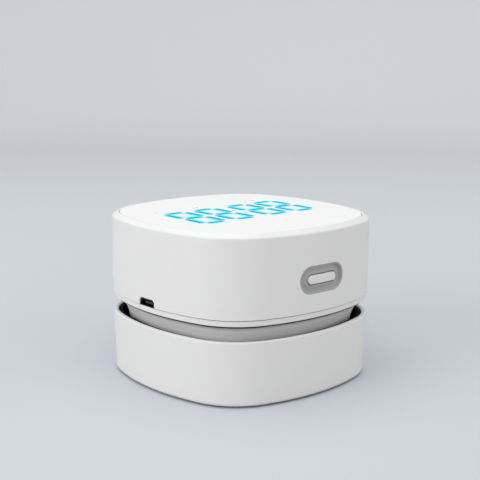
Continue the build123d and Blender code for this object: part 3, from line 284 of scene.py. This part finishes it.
# %% The socket class and the material builder
class Value:
    """One output socket of a node tree, with Python's operators."""

    def __init__(self, tree, socket):
        self.tree, self.socket = tree, socket

    def math(self, operation, *others, clamp=False):
        made = self.tree.nodes.new("ShaderNodeMath")
        made.operation, made.use_clamp = operation, clamp
        for place, value in enumerate((self, *others)):
            join(self.tree, made.inputs[place], value)
        return Value(self.tree, made.outputs[0])

    def _reflected(self, operation, other):
        made = self.tree.nodes.new("ShaderNodeMath")
        made.operation = operation
        join(self.tree, made.inputs[0], other)
        join(self.tree, made.inputs[1], self)
        return Value(self.tree, made.outputs[0])

    def __add__(self, other): return self.math("ADD", other)
    def __radd__(self, other): return self._reflected("ADD", other)
    def __sub__(self, other): return self.math("SUBTRACT", other)
    def __rsub__(self, other): return self._reflected("SUBTRACT", other)
    def __mul__(self, other): return self.math("MULTIPLY", other)
    def __rmul__(self, other): return self._reflected("MULTIPLY", other)
    def __truediv__(self, other): return self.math("DIVIDE", other)
    def __rtruediv__(self, other): return self._reflected("DIVIDE", other)
    def __pow__(self, other): return self.math("POWER", other)
    def __gt__(self, other): return self.math("GREATER_THAN", other)
    def __lt__(self, other): return self.math("LESS_THAN", other)
    def __abs__(self): return self.math("ABSOLUTE")


def join(tree, socket, value):
    """Link a Value to a socket, or set the socket's own number, colour or vector."""
    if isinstance(value, Value):
        tree.links.new(value.socket, socket)
    elif value is not None:
        if hasattr(socket.default_value, "__len__"):
            value = tuple(value) + (1.0,) * (len(socket.default_value) - len(value))
        socket.default_value = value


def length(*parts):
    """Length of a vector from its parts: the root of the sum of their squares."""
    total = parts[0] * parts[0]
    for part in parts[1:]:
        total = total + part * part
    return total.math("SQRT")


def unit(value):
    """The value, kept between 0 and 1."""
    return value.math("MAXIMUM", 0.0, clamp=True)


class Finish:
    """A material, or the world, that is built node by node."""

    def __init__(self, name, owner=None):
        self.owner = owner or bpy.data.materials.new(name)
        self.owner.use_nodes = True
        self.tree = self.owner.node_tree
        self.tree.nodes.clear()

    def node(self, kind, settings=None, inputs=None, output=0):
        """Add a node: first its settings, then its sockets. Returns the output that is asked for."""
        made = self.tree.nodes.new("ShaderNode" + kind)
        for key, value in (settings or {}).items():
            setattr(made, key, value)
        for key, value in (inputs or {}).items():
            join(self.tree, made.inputs[key], value)
        return Value(self.tree, made.outputs[output]) if len(made.outputs) else None

    def place(self):
        """The point on the object, in metres."""
        return self.node("TexCoord", output="Object")

    def axes(self):
        """X, Y and Z of the point on the object, as three values in millimetres."""
        split = self.node("SeparateXYZ", inputs={"Vector": self.place()}).socket.node
        return [Value(self.tree, out) * PER_METRE for out in split.outputs]

    def noise(self, size, detail=2.0, stretch=None):
        """Noise whose spots are about size millimetres across, from 0 to 1."""
        point = self.place()
        if stretch:
            point = self.node("Mapping", inputs={"Vector": point, "Scale": stretch})
        inputs = {"Vector": point, "Scale": PER_METRE / size, "Detail": detail}
        return self.node("TexNoise", inputs=inputs)

    def tint(self, factor, low, high):
        """A colour between two others. The Mix node has sockets for every data type, and those
        of a colour are 0, 6 and 7, with the result on output 2."""
        made = self.node("Mix", {"data_type": "RGBA"}).socket.node
        for key, value in ((0, factor), (6, low), (7, high)):
            join(self.tree, made.inputs[key], value)
        return Value(self.tree, made.outputs[2])

    def bump(self, height, depth):
        """Raise the surface by height times depth millimetres."""
        return self.node("Bump", inputs={"Height": height, "Distance": depth * MM, "Strength": 1.0})

    def surface(self, **sockets):
        """Close the material with a Principled shader. Plain numbers stay on its own sockets."""
        inputs = {key.replace("_", " "): value for key, value in sockets.items()}
        shader = self.node("BsdfPrincipled", inputs=inputs)
        self.finish(shader)
        return self.owner

    def finish(self, shader):
        """Lead a shader to the output of the material or of the world."""
        kind = "OutputWorld" if isinstance(self.owner, bpy.types.World) else "OutputMaterial"
        self.node(kind, inputs={"Surface": shader})


# %% [markdown]
# ## Moulded plastics
# Nearly every part is injection-moulded plastic. The casing is a satin white: it has a very fine
# grain from the mould, which spreads the reflections, and under soft light almost nothing else.
# An image of the surface could be used as a texture, but a faint noise in colour, roughness
# and height gives the same liveliness at any distance, and has no edges or repeats. Only the neck
# has a builder of its own, because its grey is painted deeper right under the band: painted shade.

# %% A builder for plastics and rubbers
def moulded(name, colour, rough, grain=0.25, depth=0.004, cloud=0.015, coat=0.0, shine=0.5):
    """Plastic: clouds in its colour, small changes in roughness and a fine grain of bumps."""
    finish = Finish(name)
    cloud_mask = finish.noise(14.0)
    grain_mask = finish.noise(grain, detail=3.0)
    darker = [c * (1 - cloud) for c in colour]
    lighter = [min(1.0, c * (1 + cloud)) for c in colour]
    return finish.surface(
        Base_Color=finish.tint(cloud_mask, darker, lighter),
        Roughness=rough + 0.06 * (grain_mask - 0.5) + 0.04 * (cloud_mask - 0.5),
        Specular_IOR_Level=shine,
        Coat_Weight=coat,
        Coat_Roughness=0.12,
        Normal=finish.bump(grain_mask, depth),
    )


def collar_plastic(deep=0.43, pale=0.92, fade=1.6):
    """Grey of the neck: painted deep right under the band, to stand in for the shade in the narrow
    gap there, and pale from fade millimetres below it."""
    finish = Finish("collar_grey")
    x, y, z = finish.axes()
    share = unit((z_band - band_gap - z) / fade)
    grain = finish.noise(0.25, detail=3.0)
    return finish.surface(Base_Color=finish.tint(share, (deep,) * 3, (pale,) * 3),
                          Roughness=0.40 + 0.06 * grain, Normal=finish.bump(grain, 0.003))


finishes = {
    "shell_white": moulded("shell_white", (0.86, 0.86, 0.86), 0.42, depth=0.002),
    "button_white": moulded("button_white", (0.84, 0.84, 0.84), 0.34, depth=0.001),
    "bezel_grey": moulded("bezel_grey", (0.46, 0.46, 0.465), 0.5, depth=0.003, shine=0.35),
    # the liner is black plastic, made blacker than real plastic so that the moat looks as dark as its deep
    # shade: partly painted shade
    "liner_black": moulded("liner_black", (0.004, 0.004, 0.0045), 0.8, cloud=0.1, shine=0.05),
    "inner_black": moulded("inner_black", (0.03, 0.03, 0.032), 0.5, cloud=0.1),
    "inner_white": moulded("inner_white", (0.80, 0.80, 0.79), 0.55, depth=0.006),
    "fan_grey": moulded("fan_grey", (0.55, 0.57, 0.59), 0.38),
    "chip_black": moulded("chip_black", (0.03, 0.03, 0.03), 0.6, grain=0.12, cloud=0.1),
    "lamp_white": moulded("lamp_white", (0.86, 0.88, 0.80), 0.2, depth=0.001, coat=0.4),
    "lead_insulation": moulded("lead_insulation", (0.45, 0.03, 0.03), 0.4),
    "seal_rubber": moulded("seal_rubber", (0.20, 0.20, 0.205), 0.75, depth=0.006),
    "pad_rubber": moulded("pad_rubber", (0.55, 0.55, 0.56), 0.8, grain=0.5, depth=0.02),
    "gasket_foam": moulded("gasket_foam", (0.05, 0.05, 0.05), 0.95, grain=0.4, depth=0.08, cloud=0.15),
    "bristle_black": moulded("bristle_black", (0.03, 0.03, 0.034), 0.35, grain=0.1),
    "collar_grey": collar_plastic(),
}
print(len(finishes), "moulded finishes")

# %% [markdown]
# ## The clock under its glossy panel
# Under the panel every segment has a lamp, so a lit stroke is deep cyan in its middle and paler
# where two strokes meet, because both lamps shine there. A little of the light also runs sideways
# in the white panel. Both patterns need to know how far a point is from the strokes. As all four
# digits are alike, the coordinates are folded: |x| makes left and right the same, and one more
# fold makes both digits of a pair the same.

# %% Distances from the clock's strokes
digit_width, digit_rise, digit_pitch, digit_middle = 9.4, 11.7, 13.5, 7.9
stroke_half, stroke_gap = 1.0, 0.9      # half a stroke's width, and from its tip to the crossing
tint_half, tint_rise, colon_half = 28.1, 14.5, 1.6      # the tint ends here, and clear of the colon


def digit_places(finish):
    """Distances in millimetres: across from the upright strokes, up or down from the level
    strokes, beyond the digit's top or bottom, and from the nearest crossing of strokes."""
    x, y, z = finish.axes()
    from_middle = (abs(x) - digit_middle).math("PINGPONG", digit_pitch / 2)
    across = from_middle - digit_width / 2
    rows = y.math("PINGPONG", digit_rise / 2)
    beyond = (abs(y) - digit_rise).math("MAXIMUM", 0.0)
    return across, rows, beyond, length(across, rows, beyond)


def glowing_digits(pale_reach=3.2):
    """Cyan light: palest at a crossing of strokes, and deep from pale_reach millimetres away."""
    finish = Finish("digit_cyan")
    from_crossing = digit_places(finish)[3]
    pale = (1 - from_crossing / pale_reach).math("MAXIMUM", 0.0) ** 1.4
    colour = finish.tint(pale, (0.0, 0.47, 0.67), (0.0, 0.62, 0.90))
    return finish.surface(Base_Color=(0.002, 0.05, 0.07), Roughness=0.5, Emission_Color=colour,
                          Emission_Strength=1.0, Specular_IOR_Level=0.0)


def lit_panel(leak_reach=2.2, dark_half=1.1, dark_fade=1.2):
    """White, tinted cyan within leak_reach millimetres of a stroke's edge by the light that leaks
    into the panel. The tint is widest inside a digit, where light comes from several strokes, and
    there is none within dark_half millimetres of a crossing, between the tips of the strokes."""
    finish = Finish("panel_white")
    across, rows, beyond, from_crossing = digit_places(finish)
    past_end = (stroke_gap - rows + 2 * beyond).math("MAXIMUM", 0.0)
    past_side = (across + stroke_gap).math("MAXIMUM", 0.0)
    from_upright, from_level = length(across, past_end), length(rows, past_side)
    outside = across.math("MAXIMUM", beyond).math("MAXIMUM", 0.0)
    near = from_upright.math("MINIMUM", from_level) + 0.9 * outside
    leak = unit(1 - (near - stroke_half) / leak_reach) ** 0.9
    along = unit((from_crossing - dark_half) / dark_fade)
    x, y, z = finish.axes()
    inside = (abs(x) < tint_half) * (abs(x) > colon_half) * (abs(y) < tint_rise) * along
    cloud = finish.noise(22.0)
    return finish.surface(
        Base_Color=finish.tint(leak * inside, (0.96, 0.96, 0.96), (0.02, 0.84, 0.97)),
        Roughness=0.34 + 0.06 * cloud,
        Specular_IOR_Level=0.03,
        Normal=finish.bump(finish.noise(6.0), 0.001),
    )


def faint_light(name, colour, glow):
    """A translucent window that hardly shines."""
    finish = Finish(name)
    return finish.surface(Base_Color=finish.tint(finish.noise(0.8), colour, [c * 0.97 for c in colour]),
                          Roughness=0.15, Coat_Weight=0.4, Emission_Color=colour, Emission_Strength=glow)


finishes["digit_cyan"] = glowing_digits()
finishes["panel_white"] = lit_panel()
finishes["colon_pale"] = faint_light("colon_pale", (0.32, 0.68, 0.92), 0.2)
finishes["mark_grey"] = faint_light("mark_grey", (0.78, 0.79, 0.80), 0.0)
print("clock finishes ready")

# %% [markdown]
# ## Metals
# Inside the head there are plated screws, a drawn motor can, brass blades and copper coils. Bare
# metal takes its colour from what it reflects, so what tells one part from another is its
# roughness and its direction of working: turning leaves rings, drawing leaves upright lines and
# winding leaves a rope-like ripple. A stretched noise gives lines, and a Wave texture gives wires.

# %% A builder for metals
wire_depth = 0.12                       # how far the ripples of a winding stand out


def metal(name, colour, rough, stretch=(1.0, 1.0, 1.0), size=0.4, depth=0.004, wires=0.0):
    """Bare metal with stretched lines, or with ripples like windings where a scale for wires is given."""
    finish = Finish(name)
    lines = finish.noise(size, detail=4.0, stretch=stretch)
    stain = finish.noise(5.0)
    height = lines
    if wires:
        depth = wire_depth
        height = finish.node("TexWave", {"wave_type": "BANDS", "bands_direction": "Z"},
                             {"Vector": finish.place(), "Scale": wires, "Distortion": 0.4}, output="Fac")
    return finish.surface(
        Base_Color=finish.tint(stain, [c * 0.9 for c in colour], colour),
        Metallic=1.0,
        Roughness=rough + 0.14 * (lines - 0.5) + 0.08 * (stain - 0.5),
        Normal=finish.bump(height, depth),
    )


finishes.update({
    "steel": metal("steel", (0.62, 0.62, 0.63), 0.28, stretch=(1.0, 1.0, 6.0)),
    "motor_steel": metal("motor_steel", (0.56, 0.56, 0.55), 0.35, stretch=(1.0, 1.0, 0.08)),
    "core_iron": metal("core_iron", (0.26, 0.26, 0.27), 0.45, stretch=(0.2, 0.2, 14.0), size=1.0, depth=0.03),
    "brass": metal("brass", (0.72, 0.53, 0.24), 0.3),
    "bronze": metal("bronze", (0.50, 0.35, 0.19), 0.55, size=0.2, depth=0.01),
    "copper_wire": metal("copper_wire", (0.72, 0.30, 0.12), 0.3, wires=1100.0),
})
print("metal finishes ready")

# %% [markdown]
# ## Boards, cell, magnets, ribbon and filter
# These parts are hidden until the head is opened, and yet each has its own surface: a circuit
# board shows copper tracks through its green mask, a cell has a shrunk plastic sleeve with bare
# ends, a ribbon is a row of small wires, and a filter is fibrous. The patterns come from Brick,
# Wave and Noise textures, which are quick to tune and need no unwrapping.

# %% Finishes of the inner parts
def circuit_board():
    """Green mask over copper tracks: the joints of a stretched brick wall are the tracks."""
    finish = Finish("circuit_green")
    point = finish.node("Mapping", inputs={"Vector": finish.place(), "Scale": (1.0, 1.0, 1.0),
                                           "Rotation": (0.0, 0.0, radians(90))})
    tracks = finish.node("TexBrick", {"offset": 0.37, "squash": 0.6, "squash_frequency": 3},
                         {"Vector": point, "Scale": 260.0, "Mortar Size": 0.035, "Mortar Smooth": 0.2,
                          "Brick Width": 0.9, "Row Height": 0.42}, output="Fac")
    colour = finish.tint(tracks, (0.012, 0.13, 0.06), (0.05, 0.27, 0.12))
    return finish.surface(Base_Color=colour, Roughness=0.28 + 0.1 * tracks, Coat_Weight=0.25,
                          Normal=finish.bump(tracks, 0.03))


def cell_sleeve(end_depth=0.3, bare_share=0.8):
    """Blue shrunk sleeve. It is folded over the can's ends, and leaves bare_share of them bare."""
    finish = Finish("cell_sleeve")
    x, y, z = finish.axes()
    right = span("battery_cell", 0)[1]
    (front, back), (low, high) = span("battery_cell", 1), span("battery_cell", 2)
    off_axis = length(y - (front + back) / 2, z - (low + high) / 2)
    bare = (abs(x) > right - end_depth) * (off_axis < bare_share * (high - low) / 2)
    creases = finish.noise(1.6, stretch=(0.25, 1.0, 1.0))
    colour = finish.tint(bare, finish.tint(creases, (0.05, 0.22, 0.50), (0.06, 0.27, 0.58)), (0.6, 0.6, 0.6))
    return finish.surface(Base_Color=colour, Metallic=bare, Roughness=0.32 + 0.1 * creases,
                          Normal=finish.bump(creases, 0.04))


def ribbon():
    """Grey flat cable: one ripple for each wire across its width, darker in the grooves between the wires as
    painted shade.
    """
    finish = Finish("ribbon_grey")
    x, y, z = finish.axes()
    ripple = (y * 2 * pi).math("SINE") * 0.5 + 0.5
    return finish.surface(Base_Color=finish.tint(ripple, (0.42, 0.42, 0.41), (0.62, 0.62, 0.60)),
                          Roughness=0.45, Normal=finish.bump(ripple, 0.1))


def magnet():
    """Dark grey ferrite: matt and gritty."""
    finish = Finish("magnet_ferrite")
    grit = finish.noise(0.3, detail=6.0)
    return finish.surface(Base_Color=finish.tint(grit, (0.04, 0.04, 0.043), (0.09, 0.09, 0.095)),
                          Roughness=0.65 + 0.15 * grit, Normal=finish.bump(grit, 0.02))


def filter_paper():
    """Off-white fibrous paper: long fibres from a stretched noise over a finer one."""
    finish = Finish("filter_cloth")
    fibres = finish.noise(0.5, detail=5.0, stretch=(0.25, 1.0, 1.0))
    fine = finish.noise(0.15, detail=3.0)
    mix = fibres * 0.7 + fine * 0.3
    return finish.surface(Base_Color=finish.tint(mix, (0.70, 0.70, 0.66), (0.88, 0.88, 0.85)),
                          Roughness=0.95, Normal=finish.bump(mix, 0.06))


finishes.update({
    "circuit_green": circuit_board(),
    "cell_sleeve": cell_sleeve(),
    "ribbon_grey": ribbon(),
    "magnet_ferrite": magnet(),
    "filter_cloth": filter_paper(),
})
slot_of = {part["node"]: part["material_slot"] for part in frame["record"]["subparts"]}
for node, piece in nodes.items():
    for place in piece.material_slots:
        place.material = finishes[slot_of[node]]
print(len(finishes), "finishes on", len(nodes), "solids; missing:", set(slot_of.values()) - set(finishes))

# %% [markdown]
# ## The white shell of the head
# The largest part: a satin white wall, a bevel, a narrow rim round the panel, and a deck below it.
# One closed profile carried round the outline makes all of that. Two things break it. The notch
# of the charging socket is open at the bottom, so the bottom edge simply rises there. The oval
# opening for the button is inside the wall: that stretch of the grid is left out, and a patch
# takes its place, whose rings change step by step from the oval to the rectangle around it.
# A Boolean modifier would cut both, but it leaves long thin faces that shade badly on a curved wall.

# %% Profile of the shell
bevel_inset, rim_land, shell_wall, ledge = 1.9, 0.7, 2.0, 8.0
gap_height, gap_depth = 0.28, 1.2       # shadow gap along the lower edge
button_rise, port_clear, deck_thickness = 11.4, 3.4, 1.4
z_button = z_seam + button_rise
z_above_port = z_seam + port_clear
z_under_deck = z_deck - deck_thickness
patch_levels = z_button + patch_lines()[1]


def notch_rise():
    """How far the bottom edge rises in each column: 0 outside the notch, and inside it the lower
    of its top and a 45 degree line from its side."""
    y = centre[:, 1] + radius * facing[:, 1]
    on_port_side = (facing[:, 0] < -0.9) & (np.abs(y) <= port_half + 1e-6)
    rise = np.minimum(port_height, port_height - port_corner + port_half - np.abs(y))
    # two columns stand at each side of the notch, and the outer one of each pair doesn't rise
    doubles = on_port_side & (np.abs(np.abs(y) - port_half) < 1e-6)
    outer = doubles & (np.cumsum(doubles) % 4 < 2)
    return np.where(on_port_side & ~outer, rise, 0.0)


def shell_profile():
    """(inset, height) rows of the shell, from the shadow gap up over the bevel and back inside."""
    wall = [(0.0, z_above_port, 0.0)] + [(0.0, z, 0.0) for z in patch_levels]
    inner = [(shell_wall, z, 0.0) for z in patch_levels[::-1]] + [(shell_wall, z_above_port, 0.0)]
    land = bevel_inset + rim_land
    z_gap = z_seam + gap_height
    corners = [(gap_depth, z_seam, 0.0), (gap_depth, z_gap, 0.0), (0.0, z_gap, 0.14), *wall,
               (0.0, z_edge, 0.9), (bevel_inset, z_top, 0.7), (land, z_top, 0.22),
               (land, z_deck, 0.0), (ledge, z_deck, 0.0), (ledge, z_under_deck, 0.0),
               (shell_wall, z_under_deck, 0.0), *inner, (shell_wall, z_seam, 0.1)]
    return rounded(corners)


profile = shell_profile()
rise = notch_rise()
print(len(profile), "rows in the shell's profile; notch columns:", int((rise > 0).sum()))

# %% The shell's surface, with its notch and its oval opening
opening_half, lip = 4.75, 0.22          # half height of the oval opening, and the rounding of its lip
front_wall = -30.0                      # faces with a lower y than this belong to the front wall


def wall_point(x, z, inset=0.0):
    """A point of the front wall: y = shift - sqrt((side radius - inset)^2 - x^2)."""
    y = shift - np.sqrt((side_radius - inset) ** 2 - x**2)
    return np.stack([x, y, np.broadcast_to(z, x.shape)], -1)


def pill(run, half, turns=pill_turns()):
    """Outline of a pill shape (x, z about the button): run * half its straight length plus its
    half width times (sin, -cos) of the turn."""
    along, turn = turns
    return along * run / 2 + half * np.sin(turn), z_button - half * np.cos(turn)


def opening_patch(inset):
    """Rings from the rectangle in to the oval, which lie closer together near the oval."""
    edge_x, edge_z = on_patch_edge(*pill_turns())
    edge_x = edge_x * (side_radius - inset) / side_radius
    hole_x, hole_z = pill(pill_run, opening_half + lip)
    share = np.linspace(0, 1, 6)[:, None] ** 0.8
    x = edge_x * (1 - share) + hole_x * share
    z = (edge_z + z_button) * (1 - share) + hole_z * share
    return wall_point(x, z, inset)


def opening_lip(steps=5):
    """The rounded lip of the oval and its wall: radius + lip * (1 - sin), depth lip * (1 - cos)."""
    angle = np.linspace(0, pi / 2, steps)
    size = np.r_[opening_half + lip * (1 - np.sin(angle)), opening_half, opening_half + lip]
    depth = np.r_[lip * (1 - np.cos(angle)), 1.0, shell_wall]
    return np.stack([wall_point(*pill(pill_run, half), back) for half, back in zip(size, depth)])


def head_shell():
    """The profile carried round the outline, raised at the notch and patched at the button."""
    points = carried(profile)
    bottom = profile[:, 1] < z_seam + 1.0
    points[bottom, :, 2] += rise[None, :]
    rows, cols = points.shape[:2]
    faces = quads(rows, cols, close_rows=True)
    # leave out the stretch of the grid that the patches fill
    middle = points.reshape(-1, 3)[faces].mean(1)
    inside = (np.abs(middle[:, 0]) < patch_half) & (np.abs(middle[:, 2] - z_button) < patch_rise)
    faces = faces[~(inside & (middle[:, 1] < front_wall))]
    shapes = [(points, faces)]
    for rings in (opening_patch(0.0), opening_patch(shell_wall), opening_lip()):
        shapes.append((rings, quads(*rings.shape[:2])))
    return joined(*shapes)


make_piece("head_shell", head_shell(), "head", "shell_white", ("upper_shell",))

# %% [markdown]
# ## The glossy clock panel
# The panel is a thin white sheet that drops into the rim, with a hair of play all round. That
# play is what draws the fine grey line at its edge. A plane with a Bevel would do, but the rings
# of the outline are at hand: they shrink to a point in the middle, above and below. The panel's
# top lies two hundredths of a millimetre under the strokes of the clock, so they never fight.

# %% Lids: a rounded edge, closed to a point on both faces
def lid(corners, shares=(0.7, 0.35, 0.0)):
    """Rows of a rounded profile carried round the outline. The first and last rows are scaled
    towards the axis by the shares, and the last share, 0, makes the pole."""
    rows = carried(rounded(corners))
    low = [rows[0] * (share, share, 1) for share in shares[::-1]]
    high = [rows[-1] * (share, share, 1) for share in shares]
    points = np.concatenate([low, rows, high])
    return points, quads(*points.shape[:2])


panel_play, stroke_rise = 0.22, 0.02    # between panel and rim, and from the panel up to the strokes
lid_reach = 20.0                        # inset of the ring from which the flat faces close to a point
panel_inset = bevel_inset + rim_land + panel_play
z_panel = z_top - stroke_rise
make_piece("clock_panel",
           lid([(lid_reach, z_deck, 0.0), (panel_inset, z_deck, 0.1), (panel_inset, z_panel, 0.14),
                (lid_reach, z_panel, 0.0)]),
           "head", "panel_white", ("display_panel",))

# %% [markdown]
# ## Dark seals in the two shadow gaps: painted shade
# The head is made of three mouldings on top of each other, with a narrow shadow gap between each
# two. A thin dark foam seal is put into each gap to deepen its shade: painted shade on top of the
# real shade of the gap. From outside only a dark line is left of each: one under the white shell,
# and one between the plate and the grey collar. The gaps themselves are real, so that part of
# their shade comes from the light itself and stays right from every side.

# %% Two dark foam seals carried round the outline, as painted shade in the gaps
seal_play = 0.01                        # between a seal and the mouldings above and below it


def closed_ring(corners, steps=6):
    """A rounded profile carried round the outline and closed."""
    rows = carried(rounded(corners, steps))
    return rows, quads(*rows.shape[:2], close_rows=True)


def seal(name, outer, inner, low, high):
    """A flat ring between two insets that fills a gap but for the play, with a soft outer edge. It is dark
    foam, which deepens the gap's shade as painted shade.
    """
    low, high = low + seal_play, high - seal_play
    corners = [(outer, low, 0.04), (outer, high, 0.04), (inner, high, 0.0), (inner, low, 0.0)]
    make_piece(name, closed_ring(corners, steps=2), "head", "gasket_foam")


# both seals are dark foam in the shadow gaps, which deepens their shade: painted shade
seal("seam_shade_seal", 0.7, gap_depth, z_seam, z_seam + gap_height)
seal("collar_shade_seal", 1.5, 2.82, z_band - band_gap, z_band)

# %% [markdown]
# ## The button in its grey ring
# The ring is let into the curved front wall. Its edge is flush, its floor lies a millimetre lower
# and swells up a little towards the button, which stands in the middle with a gap round it. All
# are pill shapes, so they are rings again: each ring has a half width and a depth behind the
# wall, and the wall's own curve bends them. A flat boolean cut would not follow the wall.

# %% Pill-shaped rings on the curved front wall
def pill_surface(corners, run_at, closed=True):
    """Rows of a rounded (half width, depth) profile. Each row is a pill as wide as its half width
    and run_at(half width) long, laid on the wall at its depth."""
    rings = np.stack([wall_point(*pill(run_at(half), half), depth) for half, depth in rounded(corners)])
    return rings, quads(*rings.shape[:2], close_rows=closed)


ring_half, hole_half, sleeve_half, button_half = 4.65, 1.9, 3.2, 1.55
ring_edge, ring_lip, ring_floor, ring_back, sleeve_back = 0.05, 0.55, 1.45, 1.8, 3.4    # behind the wall
button_face, button_crown, crown_half, button_back = 0.2, 0.03, 0.6, 3.6
button_run, ring_growth = 10.0, 0.9


def ring_run(half):
    """The straight part grows evenly from the hole to the ring's outer edge."""
    return button_run + ring_growth * (half - hole_half) / (ring_half - hole_half)


ring_corners = [
    (ring_half, ring_back, 0.0), (ring_half, ring_edge, 0.1), (ring_half - 0.3, ring_edge, 0.16),
    (ring_half - 0.8, ring_floor, 0.4), (hole_half, ring_lip, 0.14), (hole_half, sleeve_back, 0.0),
    (sleeve_half, sleeve_back, 0.0), (sleeve_half, ring_back, 0.0)]
make_piece("button_ring", pill_surface(ring_corners, ring_run), "head", "bezel_grey", ("button_bezel",))
crown_face = button_face - button_crown
button_corners = [
    (0.0, button_back, 0.0), (button_half, button_back, 0.0), (button_half, button_face, 0.42),
    (crown_half, crown_face, 0.0), (0.0, crown_face, 0.0)]
make_piece("button_pill", pill_surface(button_corners, lambda half: button_run, closed=False),
           "button", "button_white", ("power_button",))

# %% [markdown]
# ## A dark lining for the charging notch
# The walls of the charging notch are covered by a thin dark lining, a dark sheet that paints the
# shade in the notch. It is one small section carried along the notch's own line: up, across and
# down again. The socket's own metal is painted dark too, as painted shade, because hardly any
# light reaches it in there.

# %% Lining of the notch
def notch_lining(thick=0.08, front=0.3, back=5.0, mitre=0.42, clear=0.02):
    """Section (offset inwards, depth behind the wall) carried along the notch's line. Both ends
    close to the middle of the section. The wall's curve is x = sqrt(side radius^2 - y^2) - shift."""
    top, low = z_seam + port_height, z_seam + clear
    line = np.array([(-port_half, low), (-port_half, top - port_corner), (port_corner - port_half, top),
                     (port_half - port_corner, top), (port_half, top - port_corner), (port_half, low)])
    inward = np.array([(1, 0), (1, -mitre), (mitre, -1), (-mitre, -1), (-1, -mitre), (-1, 0)], float)
    section = np.array([(0, front), (thick, front), (thick, back), (0, back)])
    place = line[None] + section[:, :1, None] * inward[None]
    x = shift - np.sqrt(side_radius**2 - place[..., 0] ** 2) + section[:, 1:]
    points = np.concatenate([x[..., None], place], -1)
    ends = [np.repeat(points[:, [i]].mean(0, keepdims=True), 4, 0) for i in (0, -1)]
    points = np.concatenate([ends[0], points, ends[1]], 1)
    return points, quads(*points.shape[:2], close_rows=True, close_cols=False)


# the lining is a dark sheet over the notch's walls: painted shade
make_piece("notch_lining", notch_lining(), "head", "chip_black")
# the socket's metal is painted nearly black: painted shade, because hardly any light reaches it
nodes["usb_socket"].material_slots[0].material = metal("socket_painted_shade", (0.02, 0.02, 0.02), 0.6)

# %% [markdown]
# ## The wall of the dust cup
# The cup is a white tub that widens a little upwards. Its foot is well rounded and its rim less.
# The wall is again one closed profile round the outline, and the real rounding of the rim is
# what catches the light all the way round the dark moat.

# %% Wall of the dust cup
foot, rim, wall = 0.95, 0.26, 1.6       # how far in its foot and its rim lie, and its thickness
cup_corners = [(foot, z_cup, 1.0), (rim, z_rim, 0.5), (rim + wall, z_rim, 0.5), (foot + wall, z_cup, 0.0)]
make_piece("cup_wall", closed_ring(cup_corners), "dust_unit", "shell_white", ("dust_cup",))

# %% [markdown]
# ## Floor, backdrop and light
# A plain pale sweep is the usual studio background: the floor bends up into the wall, so no
# horizon shows behind the object. Three large soft lamps stand above, to the left and in front,
# and the pale surroundings fill in the rest. A point lamp would give hard shadows, which a soft
# box never does.

# %% The sweep
def sweep(front=-1.2, back=1.3, bend=0.5, top=1.6, half=2.2):
    """Profile (forward, height) in metres: flat floor, a quarter circle of radius bend, an upright
    wall. It is as wide as twice half, and turned towards the camera."""
    turn = np.linspace(0, pi / 2, 25)
    forward = np.r_[front, back - bend + bend * np.sin(turn), back]
    height = np.r_[0.0, bend - bend * np.cos(turn), top]
    across = np.linspace(-half, half, 5)
    spread = np.broadcast_to(across[None], (forward.size, across.size))
    rows = [np.repeat(values[:, None], across.size, 1) for values in (forward, height)]
    points = np.stack([spread, *rows], -1)
    turned = points.copy()
    turned[..., 0] = points[..., 0] * cos(azimuth) - points[..., 1] * sin(azimuth)
    turned[..., 1] = points[..., 0] * sin(azimuth) + points[..., 1] * cos(azimuth)
    return turned, quads(forward.size, across.size, close_cols=False)


def direct_view(finish):
    """1 for rays by which the camera sees a thing: straight, mirrored or through glass."""
    rays = finish.node("LightPath").socket.node.outputs
    kinds = [Value(finish.tree, rays[f"Is {kind} Ray"]) for kind in ("Camera", "Glossy", "Transmission")]
    return kinds[0].math("MAXIMUM", kinds[1]).math("MAXIMUM", kinds[2])


def pale_paper(fade=900.0, near=0.12):
    """Matt paper, a shade paler far away than near the object: it grows paler over fade
    millimetres, from the share near of them on. To the camera and to reflections it is faintly
    blue, and the light that it throws back on the object is neutral."""
    finish = Finish("pale_paper")
    x, y, z = finish.axes()
    away = unit(length(x, y) / fade - near)
    seen = finish.tint(away, (0.63, 0.67, 0.715), (0.92, 0.95, 0.985))
    colour = finish.tint(direct_view(finish), (0.40, 0.40, 0.40), seen)
    return finish.surface(Base_Color=colour, Roughness=0.9, Specular_IOR_Level=0.2)


points, faces = sweep()
paper = bpy.data.meshes.new("studio_sweep")
paper.from_pydata(points.reshape(-1, 3).tolist(), [], faces.tolist())
paper.shade_smooth()
paper.materials.append(pale_paper())
backdrop = bpy.data.objects.new("studio_sweep", paper)
bpy.context.scene.collection.objects.link(backdrop)
print("sweep normal", tuple(paper.polygons[0].normal))

# %% Lamps and surroundings
lit_point, light_spread = (0.0, 0.0, 0.03), radians(90)


def soft_box(name, place, size, power):
    """Square lamp that faces the object, with a grid that keeps its light off the floor near it.
    Place and size are in metres, and power in watts."""
    light = bpy.data.lights.new(name, "AREA")
    light.size, light.energy, light.spread = size, power, light_spread
    lamp = bpy.data.objects.new(name, light)
    lamp.location = place
    toward = np.array(lit_point) - np.array(place)
    lamp.rotation_euler = (atan2(np.hypot(*toward[:2]), -toward[2]), 0.0, atan2(-toward[0], toward[1]))
    bpy.context.scene.collection.objects.link(lamp)


soft_box("lamp_above", (0.0, 0.10, 0.95), 0.95, 0.92)
soft_box("lamp_left", (-0.95, 0.08, 0.32), 0.6, 0.86)
soft_box("lamp_front", (0.70, -1.30, 0.30), 0.6, 0.57)
room = bpy.data.worlds.new("surroundings")
bpy.context.scene.world = room
air = Finish("surroundings", owner=room)
room_light = 0.74
paper_far = [c / room_light for c in (0.59, 0.625, 0.665)]      # past its edge the room looks like the paper
sky = air.tint(direct_view(air), (1.0, 1.0, 1.0), paper_far)
air.finish(air.node("Background", inputs={"Color": sky, "Strength": room_light}))
bpy.context.scene.view_settings.view_transform = "Standard"
